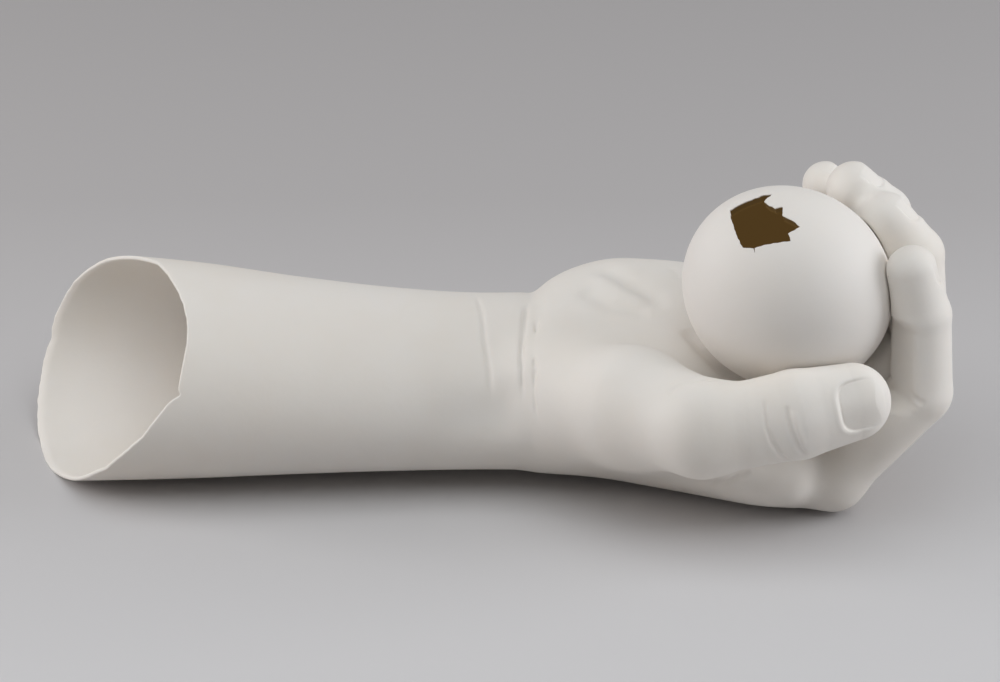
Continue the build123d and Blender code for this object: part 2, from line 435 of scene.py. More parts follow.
@dataclass
class Sleeve(Lump):
    """A tube of oval sections along X, the core of the forearm and palm.

    Args:
        stations: for each section its X, middle Y and Z, half width, depth above and below, how far its
            edges curl up, and its tilt in degrees.
        end: where it stops, towards the fingers.
        softness: how far other forms melt into it.
        how: whether it is added or cut away.
        samples: at how many places its curves are worked out.
        end_softness: how rounded its end is.
    """

    stations: list[tuple[float, ...]]
    end: float
    softness: float = 6.0
    how: Joining = Joining.ADD
    samples: int = 600
    end_softness: float = 8.0

    def __post_init__(self) -> None:
        """Runs a smooth curve through every column of the stations."""
        rows = np.asarray(self.stations, float)
        stops = rows[:, 0]
        slopes = np.gradient(rows[:, 1:], stops, axis=0)
        self.places = np.linspace(stops[0], stops[-1], self.samples)
        index = np.clip(np.searchsorted(stops, self.places, side="right") - 1, 0, len(stops) - 2)
        gap = (stops[index + 1] - stops[index])[:, None]
        share = ((self.places - stops[index]) / gap[:, 0])[:, None]
        rest = 1 - share
        start, last = rows[index, 1:], rows[index + 1, 1:]
        leaving, arriving = slopes[index] * gap, slopes[index + 1] * gap
        self.curves = (start * (1 + 2 * share) * rest**2 + leaving * share * rest**2
                       + last * share**2 * (3 - 2 * share) - arriving * share**2 * rest)
        self.centre = triple((stops[0] + self.end) / 2, 0.0, 30.0)
        self.reach = 200.0

    def section(self, x: Array) -> list[Array]:
        """Middle Y and Z, half width, depths, curl and tilt in radians at each X."""
        columns = [np.interp(x, self.places, self.curves[:, column]) for column in range(7)]
        columns[6] = np.radians(columns[6])
        return columns

    def distance(self, points: Array, wall: float = 0.0) -> Array:
        """Distances from points to the sleeve, drawn in by a wall."""
        middle_y, middle_z, half, above, below, curl, tilt = self.section(points[:, 0])
        y = points[:, 1] - middle_y
        z = points[:, 2] - middle_z
        across = y * np.cos(tilt) + z * np.sin(tilt)
        rise = z * np.cos(tilt) - y * np.sin(tilt) - curl * (across / half) ** 2
        depth = np.where(rise > 0, above, below) - wall
        half = half - wall
        near = np.sqrt((across / half) ** 2 + (rise / depth) ** 2)
        slope = np.sqrt((across / half**2) ** 2 + (rise / depth**2) ** 2)
        side = near * (near - 1) / np.maximum(slope, TINY)
        return -melt(-side, self.end - wall - points[:, 0], self.end_softness)


@dataclass
class Clay:
    """The distance field of the whole sculpture, worked form by form.

    Args:
        forms: the forms in the order in which they go on.
        cell: side of the cells in which points are worked together, in millimetres.
        block: how many samples a side the blocks have in which the box is worked.
        margin: how far past its reach a form still counts.
        stride: how far a point is moved at once.
    """

    forms: list[Form]
    cell: float = 11.0
    block: int = 16
    margin: float = 9.0
    stride: float = 0.6

    def groups(self, points: Array) -> list[Array]:
        """Points that lie in one cell, as lists of their numbers."""
        keys = np.floor(points / self.cell).astype(np.int64)
        keys -= keys.min(0)
        code = (keys[:, 0] * 4096 + keys[:, 1]) * 4096 + keys[:, 2]
        order = np.argsort(code, kind="stable")
        return np.split(order, np.flatnonzero(np.diff(code[order])) + 1)

    def at(self, points: Array) -> Array:
        """Distances from any points to the skin."""
        result = np.empty(len(points))
        for group in self.groups(points):
            result[group] = self.work(points[group])
        return result

    def work(self, points: Array) -> Array:
        """Distances for a small group of points, from the forms that reach it."""
        low, high = points.min(0), points.max(0)
        middle, radius = (low + high) / 2, float(np.linalg.norm(high - low)) / 2
        distance = np.full(len(points), FAR)
        for form in self.forms:
            if np.linalg.norm(middle - form.centre) < form.reach + radius + self.margin:
                distance = form.apply(points, distance)
        return distance

    def slope(self, points: Array, step: float = 0.12) -> tuple[Array, Array]:
        """The field and its outward direction at points.

        Args:
            points: where to look.
            step: how far apart the four samples lie.

        Returns:
            Distances, and unit vectors that point out of the skin.
        """
        corners = np.array([(1, -1, -1), (-1, -1, 1), (-1, 1, -1), (1, 1, 1)], float)
        values = np.empty(len(points))
        gradient = np.empty((len(points), 3))
        for group in self.groups(points):
            nearby = (points[group][None] + corners[:, None] * step).reshape(-1, 3)
            samples = self.work(nearby).reshape(4, -1)
            values[group] = samples.mean(0)
            gradient[group] = samples.T @ corners / (4 * step)
        return values, gradient / np.maximum(np.linalg.norm(gradient, axis=1), TINY)[:, None]

    def skin(self, low: Array, high: Array, size: float) -> tuple[Array, Array]:
        """Skins the field inside a box.

        Args:
            low: lowest corner of the box.
            high: highest corner.
            size: side of the cells, in millimetres.

        Returns:
            Points and four-sided faces that look outwards.
        """
        counts = np.ceil((high - low) / size).astype(int) + 1
        axes = [low[axis] + size * np.arange(counts[axis]) for axis in range(3)]
        values = np.full(counts, FAR, np.float32)
        for corner in itertools.product(*(range(0, count, self.block) for count in counts)):
            spans = tuple(slice(start, start + self.block) for start in corner)
            mesh = np.meshgrid(*(axis[span] for axis, span in zip(axes, spans)), indexing="ij")
            points = np.stack([part.ravel() for part in mesh], axis=1)
            values[spans] = self.work(points).reshape(mesh[0].shape)
        grid = openvdb.FloatGrid(float(values.max()))
        grid.copyFromArray(values)
        points, triangles, quads = grid.convertToPolygons(isovalue=0.0, adaptivity=0.0)
        faces = np.concatenate([quads, np.column_stack([triangles, triangles[:, -1:]])])
        return low + points.astype(float) * size, faces.astype(int)

    def detailed(self, points: Array) -> Array:
        """Which points lie at a groove or a nail."""
        fine = np.zeros(len(points), bool)
        for form in self.forms:
            if isinstance(form, (Groove, Nail)):
                close = np.flatnonzero(np.linalg.norm(points - form.centre, axis=1) < form.reach + 1.0)
                fine[close[form.near(points[close])]] = True
        return fine

    def settle(self, points: Array) -> tuple[Array, Array]:
        """Moves points onto the skin and gives the way it faces there."""
        distance, way = self.slope(points)
        points = points - way * np.clip(distance, -self.stride, self.stride)[:, None]
        return points, self.slope(points)[1]


@dataclass
class DigitPlan:
    """Where a digit's joints are and how thick it is, in millimetres from the wrist.

    Args:
        joints: the root, the middles of the joints and the middle of the tip.
        radii: half the width at each of them.
        nail_size: half the length and half the width of its nail.
        across: the way of its width.
        seam: how far from the root the digit's own piece begins.
        flat: its depth as a share of its width.
        waist: how much thinner it is between its joints.
        knuckle: how far its joints stand out, as a share of its radius.
        fold: how far the skin rises round its nail.
        sunk: how deep its nail lies, as a share of its radius.
        joining: how softly it runs into the palm.
        pad: half the size of the soft pad on each stretch, along, across and in depth, as shares of the
            stretch's length, of the radius and of the radius.
        pad_out: how far the pad lies towards the soft side, as a share of the radius.
        crease_depths: how deep the folds at the joints are.
        nail_ahead: how far past the tip's middle the nail's front edge lies, as a share of the radius.
        nail_tilt: how far the nail leans towards the tip.
    """

    joints: tuple[Point, ...]
    radii: tuple[float, ...]
    nail_size: Pair
    across: Point = (-0.17, 0.97, 0.17)
    seam: float = 14.0
    flat: float = 0.97
    waist: float = 0.12
    knuckle: float = 0.80
    fold: float = 0.08
    sunk: float = 0.02
    joining: float = 5.0
    pad: Point = (0.46, 0.84, 0.86)
    pad_out: float = 0.2
    crease_depths: Pair = (0.7, 0.3)
    nail_ahead: float = 0.74
    nail_tilt: float = 0.12

    def ways(self) -> list[Array]:
        """The direction of each stretch."""
        stops = np.asarray(self.joints, float)
        return [unit(after - before) for before, after in zip(stops, stops[1:])]

    def palmar(self, way: Array) -> Array:
        """The direction of the digit's soft side on a stretch."""
        return unit(np.cross(way, unit(self.across)))

    def stick(self) -> Limb:
        """The digit's rounded stick, from root to tip."""
        return Limb(self.joints, self.radii, softness=self.joining, flat=self.flat,
                    flat_way=tuple(self.palmar(self.ways()[0])), waist=self.waist)

    def bends(self) -> Iterator[tuple[Array, float, Array, Array]]:
        """Each joint between root and tip: its middle, its radius and the ways before and after it."""
        ways = self.ways()
        return zip(np.asarray(self.joints, float)[1:-1], self.radii[1:-1], ways, ways[1:])

    def bones(self) -> list[Form]:
        """The stick of the digit, its knuckles and its soft pads."""
        stops = np.asarray(self.joints, float)
        forms: list[Form] = [self.stick()]
        if not self.knuckle:
            return forms
        long, wide, deep = self.pad
        for start, end, radius, way in zip(stops, stops[1:], self.radii[1:], self.ways()):
            middle = (start + end) / 2 + self.palmar(way) * radius * self.pad_out
            length = float(np.linalg.norm(end - start))
            forms.append(Mound(tuple(middle), (length * long, radius * wide, radius * deep), tuple(way),
                               tuple(self.palmar(way)), softness=2.0))
        for stop, radius, before, after in self.bends():
            back = unit(self.palmar(before) + self.palmar(after))
            size = radius * self.knuckle
            forms.append(Mound(tuple(stop - back * radius * 0.12), (size, size, size),
                               tuple(unit(before + after)), tuple(back), softness=1.5))
        return forms

    def creases(self) -> list[Form]:
        """The folds on the soft side of each joint."""
        across = unit(self.across)
        forms: list[Form] = []
        for depth, (stop, radius, before, after) in zip(self.crease_depths, self.bends()):
            inner = unit(self.palmar(before) + self.palmar(after))
            line = [stop + (inner * math.cos(turn) + across * math.sin(turn)) * radius
                    for turn in np.radians((-75, -45, -15, 15, 45, 75))]
            forms.append(Groove(np.array(line), 0.9, depth))
        return forms

    def nail(self) -> Nail:
        """The nail on the back of the tip."""
        tip, radius = np.asarray(self.joints[-1], float), self.radii[-1]
        way = self.ways()[-1]
        back = -self.palmar(way)
        length, width = self.nail_size
        middle = tip + back * radius * self.flat * (1 - self.sunk) + way * (radius * self.nail_ahead - length)
        return Nail(middle, way, unit(back + way * self.nail_tilt), length, width, self.fold, self.sunk)


@dataclass
class Viewpoint:
    """The photograph's viewpoint, for marks that are placed where the photograph shows them.

    Args:
        aim_lift: how far above the table the camera aims.
        near: how far the camera's reference distance lies in front of the wrist.
        distance: the camera's distance from that reference.
        pixels: focal length in pixels of a picture 1000 wide.
        centre: the picture's middle.
        beside: how far the picture's middle lies behind the wrist along X.
        ahead: how much nearer than the reference a search for the skin starts.
        steps: how many steps the search takes.
        step_span: the furthest it goes back and ahead in one step.
        step_share: how much of the measured distance it goes.
    """

    aim_lift: float = 36.0
    near: float = 15.0
    distance: float = 1200.0
    pixels: float = 3840.0
    centre: Pair = (500.0, 341.0)
    beside: float = 6.4
    ahead: float = 95.0
    steps: int = 90
    step_span: Pair = (-3.0, 6.0)
    step_share: float = 0.8

    def place(self) -> Array:
        """Where the camera stands, in millimetres from the wrist."""
        aside = triple(-self.beside, 0, 0)
        return aside + UP_IN_VIEW * self.aim_lift + TO_CAMERA * (self.near + self.distance)

    def seen(self, points: Array) -> Array:
        """Where points lie in the picture."""
        offset = points - self.place()
        away = offset @ -TO_CAMERA
        return np.column_stack([self.centre[0] + self.pixels * offset[:, 0] / away,
                                self.centre[1] - self.pixels * (offset @ UP_IN_VIEW) / away])

    def on_skin(self, clay: Clay, marks: tuple[Pair, ...]) -> Array:
        """Follows lines of sight through picture points to the skin.

        Args:
            clay: the field that they meet.
            marks: picture points.

        Returns:
            The points of the skin that they reach.
        """
        eye = self.place()
        middle_x, middle_y = self.centre
        ways = np.array([unit(triple((x - middle_x) / self.pixels, 0, 0)
                              + UP_IN_VIEW * (middle_y - y) / self.pixels - TO_CAMERA) for x, y in marks])
        travel = np.full(len(marks), self.distance - self.ahead)
        for _ in range(self.steps):
            travel += np.clip(clay.at(eye + ways * travel[:, None]), *self.step_span) * self.step_share
        return eye + ways * travel[:, None]


@dataclass
class HandSizes:
    """The sculptor's driving sizes in millimetres, measured from the wrist, all read off the photograph.

    Args:
        wrist_half: half the wrist's width and depth.
        rim_half: half the forearm's width and depth at the rim.
        wrist_tilt: how far the wrist's section is turned, in degrees.
        rim_tilt: how far the rim's section is turned.
        wrist_lift: the wrist's height above the table.
        growth: how far from wrist to rim the section has grown at each X, as a share.
        palm: the palm's stations, as a sleeve takes them, with their height above the table in place of Z.
        palm_end: where the palm's core stops.
        forearm_wall: the forearm's wall.
        palm_wall: the palm's wall.
        foot_cut: how much is rubbed off the foot.
        ball_middle: the ball's middle.
        ball_half: half the ball's length and width.
        ball_axis: the way of its long axis.
        ball_gap: the room between ball and hand.
        seat_softness: how rounded the edge of the ball's room is.
        hollow_end: where the hollow stops in the palm.
    """

    wrist_half: Pair = (33.0, 23.75)
    rim_half: Pair = (40.5, 32.25)
    wrist_tilt: float = 10.0
    rim_tilt: float = 7.0
    wrist_lift: float = 2.8
    growth: tuple[Pair, ...] = ((-175.0, 1.0), (-127.5, 1.0), (-100.5, 0.80), (-69.0, 0.42), (-37.5, 0.12),
                                (-15.0, 0.0), (0.0, 0.0), (3.5, 0.0))
    palm: tuple[tuple[float, ...], ...] = (
        (9.2, 0.6, 3.0, 35.2, 24.2, 24.2, 2.2, 13.5),
        (24.7, 1.4, 3.0, 38.9, 23.8, 25.7, 4.8, 17.0),
        (41.2, -0.4, 1.3, 41.0, 23.0, 25.7, 5.6, 20.0),
        (57.6, -3.5, 1.3, 42.9, 22.0, 22.4, 5.6, 20.5),
        (75.0, -7.4, 0.7, 42.1, 21.0, 17.8, 5.3, 16.0),
        (92.0, -10.0, 0.0, 36.0, 14.0, 13.9, 5.3, 11.0),
        (104.0, -10.5, 0.0, 30.0, 9.0, 12.0, 4.0, 10.0),
    )
    palm_end: float = 89.0
    forearm_wall: float = 2.4
    palm_wall: float = 3.2
    foot_cut: float = 0.7
    ball_middle: Point = (80.8, -20.44, 69.92)
    ball_half: Pair = (32.6, 30.4)
    ball_axis: Point = (0.85, -0.25, -0.47)
    ball_gap: float = 0.4
    seat_softness: float = 0.5
    hollow_end: float = 82.0

    def sleeve(self) -> Sleeve:
        """The core of the forearm and palm, resting on the table."""
        stations = []
        for x, growth in self.growth:
            half = self.wrist_half[0] + (self.rim_half[0] - self.wrist_half[0]) * growth
            depth = self.wrist_half[1] + (self.rim_half[1] - self.wrist_half[1]) * growth
            tilt = self.wrist_tilt + (self.rim_tilt - self.wrist_tilt) * growth
            lift = self.wrist_lift * (1 - growth) - self.foot_cut * growth
            rest = math.hypot(half * math.sin(math.radians(tilt)), depth * math.cos(math.radians(tilt)))
            stations.append((x, 0.0, rest + lift, half, depth, depth, 0.0, tilt))
        for x, y, lift, half, above, below, curl, tilt in self.palm:
            turn = np.radians(np.linspace(180, 360, 181))
            across = half * np.cos(turn)
            rise = below * np.sin(turn) + curl * np.cos(turn) ** 2
            lowest = (across * math.sin(math.radians(tilt)) + rise * math.cos(math.radians(tilt))).min()
            stations.append((x, y, lift - lowest, half, above, below, curl, tilt))
        return Sleeve(stations, self.palm_end)

    def seat(self) -> Mound:
        """The ball's room, cut out of the hand."""
        half_length, half_width = (half + self.ball_gap for half in self.ball_half)
        return Mound(self.ball_middle, (half_length, half_width, half_width), self.ball_axis, (0.0, 1.0, 0.0),
                     softness=self.seat_softness, how=Joining.CUT)


@dataclass
class Hollow(Form):
    """The casting's inside: the sleeve drawn in by the wall, kept clear of the ball's seat and of the end.

    Args:
        sleeve: the core that it follows.
        seat: the ball's room.
        wall: the wall's thickness.
        end: where it stops, towards the fingers.
        end_softness: how rounded its end is.
        seat_softness: how rounded it is where it runs under the seat.
    """

    sleeve: Sleeve
    seat: Mound
    wall: float
    end: float
    end_softness: float = 12.0
    seat_softness: float = 6.0

    def __post_init__(self) -> None:
        """Takes the sleeve's own reach."""
        self.centre = self.sleeve.centre
        self.reach = self.sleeve.reach

    def distance(self, points: Array) -> Array:
        """Distances to the hollow's wall, below zero in the hollow."""
        inside = self.sleeve.distance(points, self.wall)
        inside = -melt(-inside, self.end - points[:, 0], self.end_softness)
        return -melt(-inside, self.seat.distance(points) - self.wall, self.seat_softness)

    def apply(self, points: Array, distance: Array) -> Array:
        """Takes the hollow out of the clay."""
        return np.maximum(distance, -self.distance(points))


@dataclass
class Anatomy:
    """The hand's forms, from the wrist to the nails.

    Args:
        sizes: the driving sizes.
        thumb: the thumb's plan.
        fingers: each finger's plan, by the name of its piece.
        wrist: where the hand's bones start.
        index_side: the line inside the index finger beside which its side is flat.
        view: the photograph's viewpoint.
    """

    sizes: HandSizes = field(default_factory=HandSizes)
    thumb: DigitPlan = field(default_factory=lambda: DigitPlan(
        joints=((53.7, -58.6, 42.1), (66.6, -58.0, 43.4), (82.0, -56.4, 46.0), (98.6, -52.8, 48.3)),
        radii=(14.0, 12.9, 13.6, 11.7), across=(0.0, -0.36, -0.93), seam=2.0, nail_size=(7.3, 7.4), flat=0.84,
        waist=0.0, knuckle=0.0, fold=0.12, sunk=0.05, joining=4.0))
    fingers: dict[str, DigitPlan] = field(default_factory=lambda: {
        "index_finger": DigitPlan(
            joints=((96.0, -33.6, 11.2), (121.3, -33.2, 41.0), (120.4, -31.1, 66.0), (117.1, -29.7, 80.2)),
            radii=(9.6, 9.9, 9.3, 8.0), nail_size=(5.8, 5.4), waist=0.0, knuckle=0.0),
        "middle_finger": DigitPlan(
            joints=((94.2, -17.3, 8.9), (122.0, -15.0, 50.3), (120.0, -8.7, 75.0), (111.4, -5.6, 84.8)),
            radii=(9.7, 9.5, 9.3, 9.2), nail_size=(5.9, 5.5)),
        "ring_finger": DigitPlan(
            joints=((90.2, -0.9, 14.4), (114.2, 0.4, 58.3), (111.7, 7.6, 80.9), (102.2, 8.3, 89.4)),
            radii=(9.2, 9.1, 8.8, 8.5), nail_size=(5.6, 5.2)),
        "little_finger": DigitPlan(
            joints=((84.3, 14.0, 24.4), (103.2, 18.3, 60.5), (102.2, 22.7, 77.0), (94.7, 21.9, 84.4)),
            radii=(8.6, 8.4, 7.7, 7.2), nail_size=(5.0, 4.6), seam=13.0),
    })
    wrist: Point = (10.0, 0.0, 26.0)
    index_side: tuple[Point, Point] = ((121.3, -33.2, 37.0), (120.6, -31.1, 68.0))
    view: Viewpoint = field(default_factory=Viewpoint)

    def flesh(self) -> list[Form]:
        """The large forms of the palm and back of the hand."""
        forms: list[Form] = [self.sizes.sleeve()]
        for plan, beside in zip(self.fingers.values(), (-14.0, -5.0, 5.0, 14.0)):
            root = plan.joints[0]
            start = (self.wrist[0], self.wrist[1] + beside, self.wrist[2] - 5.0 + beside * 0.3)
            forms.append(Limb((start, root), (12.0, plan.radii[0] - 0.4)))
        thumb_base = Limb(((14.0, -20.0, 33.0), (34.0, -38.0, 38.0), (54.0, -57.5, 42.0)), (17.0, 18.0, 14.4),
                          softness=11.0, flat=0.9, flat_way=(0.0, -0.93, 0.36), bend=5.0)
        thumb_web = Limb(((56.0, -50.0, 32.0), (74.0, -41.5, 20.0), (87.0, -33.0, 13.0)), (8.5, 7.5, 7.5),
                         softness=5.0)
        outer_pad = Mound((47.0, 20.5, 40.4), (24.0, 13.0, 11.6), (1.0, -0.1, 0.03), softness=3.0)
        heel = Mound((36.0, -15.0, 34.5), (30.0, 17.0, 15.0), softness=8.0)
        return [*forms, thumb_base, thumb_web, outer_pad, heel]

    def digits(self) -> dict[str, DigitPlan]:
        """Every digit by the name of its piece."""
        return {**self.fingers, "thumb": self.thumb}

    def marks(self, clay: Clay) -> list[Form]:
        """Creases, folds and hollows, placed where the photograph shows them."""
        see = self.view.on_skin
        lines = (
            (((476, 296), (482, 313), (485, 341), (489, 368), (492, 400)), 0.9, 0.45),
            (((527, 304), (523, 335), (521, 368), (522, 402)), 0.9, 0.75),
            (((537, 318), (535, 368), (537, 420)), 0.9, 0.7),
            (((598, 266), (628, 281), (653, 297), (663, 311)), 3.6, 1.0),
            (((580, 290), (612, 305), (652, 311)), 3.4, 0.9),
            (((590, 276), (622, 292), (650, 304)), 2.6, -0.5),
            (((672, 267), (681, 278)), 2.0, 0.3),
            (((668, 396), (674, 389), (684, 384), (698, 380), (714, 379)), 1.2, 0.45),
            (((764, 398), (765, 412), (767, 428), (772, 442), (781, 455), (792, 461)), 0.7, 0.55),
            (((787, 405), (789, 418), (793, 432), (799, 447), (807, 456)), 0.8, 0.75),
            (((794, 410), (798, 430), (805, 447)), 1.0, -0.3),
            (((893, 387), (903, 392), (914, 399), (925, 405)), 1.0, 1.0),
            (((712, 488), (724, 483), (738, 476), (752, 471)), 1.3, 0.9),
            (((686, 328), (702, 347), (720, 364), (738, 379)), 2.6, 2.2),
        )
        forms: list[Form] = [Groove(see(clay, marks), width, depth) for marks, width, depth in lines]
        hollows = (((460, 420), 9.0, 1.4), ((502, 415), 8.0, 1.7), ((515, 392), 5.0, 0.6),
                   ((720, 440), 11.0, 0.5), ((862, 449), 5.5, 1.4), ((640, 330), 12.0, 0.6))
        forms += [Swell(tuple(see(clay, (mark,))[0]), width, -depth) for mark, width, depth in hollows]
        return forms

    def clay(self) -> Clay:
        """The whole hand: flesh, digits, marks, nails, then the ball's room, the hollow and the feet."""
        sizes = self.sizes
        forms = self.flesh()
        for plan in self.digits().values():
            forms += plan.bones()
        rough = Clay(list(forms))
        for plan in self.fingers.values():
            forms += plan.creases()
        forms.append(Facet(self.index_side, 13.0, 7.0, facing=(-0.885, -0.465, 0.03)))
        forms += self.marks(rough)
        forms += [plan.nail() for plan in self.digits().values()]
        seat = sizes.seat()
        hollow = Hollow(sizes.sleeve(), seat, sizes.palm_wall, sizes.hollow_end)
        return Clay([*forms, seat, hollow, Foot()])


@dataclass
class Foot(Form):
    """The table's plane, at which the feet are rubbed flat.

    Args:
        height: how high it lies.
    """

    height: float = 0.0

    def __post_init__(self) -> None:
        """Reaches every point."""
        self.centre = np.zeros(3)
        self.reach = 1000.0

    def apply(self, points: Array, distance: Array) -> Array:
        """Keeps the clay above the table."""
        return np.maximum(distance, self.height - points[:, 2])


@dataclass
class Placement:
    """Turns millimetres from the wrist into the row frame's metres, with the CAD pieces as the guide.

    Args:
        sizes: the driving sizes.
    """

    sizes: HandSizes

    def __post_init__(self) -> None:
        """Finds the wrist from the forearm's and ball's boxes."""
        forearm_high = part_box("forearm_shell")[1]
        low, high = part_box("ball_shell")
        self.origin = np.array([forearm_high.x, (low.y + high.y) / 2 - self.sizes.ball_middle[1] * MM, 0.0])

    def metres(self, points: Array) -> Array:
        """Points in metres, in the row frame."""
        return np.asarray(points, float) * MM + self.origin


def put_in_scene(name: str, data: bpy.types.ID) -> bpy.types.Object:
    """An object made of a mesh, lamp or camera, linked to the scene."""
    made = bpy.data.objects.new(name, data)
    bpy.context.scene.collection.objects.link(made)
    return made


def make_mesh(name: str, points: Array, faces: Array, normals: Array) -> bpy.types.Object:
    """A smooth object from points in metres.

    Args:
        name: the piece's name.
        points: its points.
        faces: its faces, as rows of point numbers.
        normals: the way the skin faces at each point, or zeros where Blender works it out.

    Returns:
        The object, linked to the scene.
    """
    mesh = bpy.data.meshes.new(name)
    mesh.from_pydata([tuple(point) for point in points], [], faces.tolist())
    mesh.polygons.foreach_set("use_smooth", [True] * len(mesh.polygons))
    mesh.normals_split_custom_set_from_vertices([tuple(normal) for normal in normals])
    mesh.update()
    return put_in_scene(name, mesh)


def refine(points: Array, faces: Array, chosen: Array) -> tuple[Array, Array]:
    """Splits the chosen triangles in four and their neighbours to match.

    Args:
        points: the mesh's points.
        faces: its triangles.
        chosen: which triangles to split.

    Returns:
        The points, new ones last, and the triangles.
    """
    ends = np.sort(faces[:, [0, 1, 1, 2, 2, 0]].reshape(-1, 2), axis=1)
    codes = ends[:, 0] * len(points) + ends[:, 1]
    keys, first, number = np.unique(codes, return_index=True, return_inverse=True)
    number = number.reshape(-1, 3)
    cut = np.zeros(len(keys), bool)
    cut[number[chosen]] = True
    middles = (np.cumsum(cut) - 1 + len(points))[number]
    points = np.concatenate([points, points[ends[first[cut]]].mean(1)])
    marks = cut[number]
    made = [faces[~marks.any(1)]]

    def add(rows: Array, corners: Array, mids: Array, *shapes: str) -> None:
        """Adds triangles whose corners are named a to c, and x to z for the middles after them."""
        spots = dict(zip("abcxyz", [*corners[rows].T, *mids[rows].T]))
        made.extend(np.column_stack([spots[letter] for letter in shape]) for shape in shapes)

    add(marks.all(1), faces, middles, "axz", "xby", "zyc", "xyz")
    for turn in range(3):
        corners, mids, cuts = (np.roll(rows, -turn, axis=1) for rows in (faces, middles, marks))
        add(cuts[:, 0] & ~cuts[:, 1] & ~cuts[:, 2], corners, mids, "axc", "xbc")
        add(cuts[:, 0] & cuts[:, 1] & ~cuts[:, 2], corners, mids, "axc", "xyc", "xby")
    return points, np.concatenate(made)


@dataclass
class Hand:
    """The palm and the digits, skinned from one field and shared out between their pieces.

    Args:
        anatomy: the hand's forms.
        place: the way into the row frame.
        skin_size: side of the cells of the skin, in millimetres.
        low: lowest corner of the box that holds the hand.
        high: its highest corner.
        edge_rounds: how many times the edge at the wrist is pulled onto the skin.
        holding: how near a digit's stick a face must lie to belong to the digit.
    """

    anatomy: Anatomy
    place: Placement
    skin_size: float = 0.76
    quick_size: float = 1.5
    low: Point = (-1.4, -80.5, -1.1)
    high: Point = (137.0, 48.0, 103.0)
    edge_rounds: int = 3
    holding: float = 2.0

    def owners(self, points: Array) -> Array:
        """Which digit each point belongs to, or -1 for the palm."""
        best = np.full(len(points), self.holding)
        owner = np.full(len(points), -1)
        for number, plan in enumerate(self.anatomy.digits().values()):
            stick = Limb(plan.joints, plan.radii, flat=plan.flat, flat_way=tuple(plan.palmar(plan.ways()[0])))
            gap = stick.distance(points)
            beyond = (points - np.asarray(plan.joints[0])) @ plan.ways()[0] > plan.seam
            closer = beyond & (gap < best)
            best = np.where(closer, gap, best)
            owner = np.where(closer, number, owner)
        return owner

    def build(self, clay: Clay) -> dict[str, bpy.types.Object]:
        """Skins the field and makes the pieces.

        Args:
            clay: the finished field.

        Returns:
            Each piece by name.
        """
        size = self.skin_size
        points, faces = clay.skin(np.asarray(self.low), np.asarray(self.high), size)
        kept = points[faces].mean(1)[:, 0] > 0
        edge = np.intersect1d(faces[kept], faces[~kept])
        points, ways = clay.settle(points)
        points[edge, 0] = 0.0
        for _ in range(self.edge_rounds):
            distance, way = clay.slope(points[edge])
            way[:, 0] = 0.0
            points[edge] -= way * np.clip(distance, -clay.stride, clay.stride)[:, None]
        ways[edge] = clay.slope(points[edge])[1]
        faces = np.concatenate([faces[kept][:, [0, 1, 2]], faces[kept][:, [0, 2, 3]]])
        count = len(points)
        middles = points[faces].mean(1)
        points, faces = refine(points, faces, clay.detailed(middles) & (middles[:, 0] > size))
        points[count:], finer_ways = clay.settle(points[count:])
        points[:, 2] = np.maximum(points[:, 2], 0.0)
        ways = np.concatenate([ways, finer_ways])
        owner = self.owners(points[faces].mean(1))
        names = ["palm_shell", *self.anatomy.digits()]
        pieces = {}
        for number, name in enumerate(names, start=-1):
            own = faces[owner == number]
            used, renumbered = np.unique(own, return_inverse=True)
            pieces[name] = make_mesh(name.replace("_shell", "") + "_skin", self.place.metres(points[used]),
                                     renumbered.reshape(own.shape), ways[used])
        return pieces


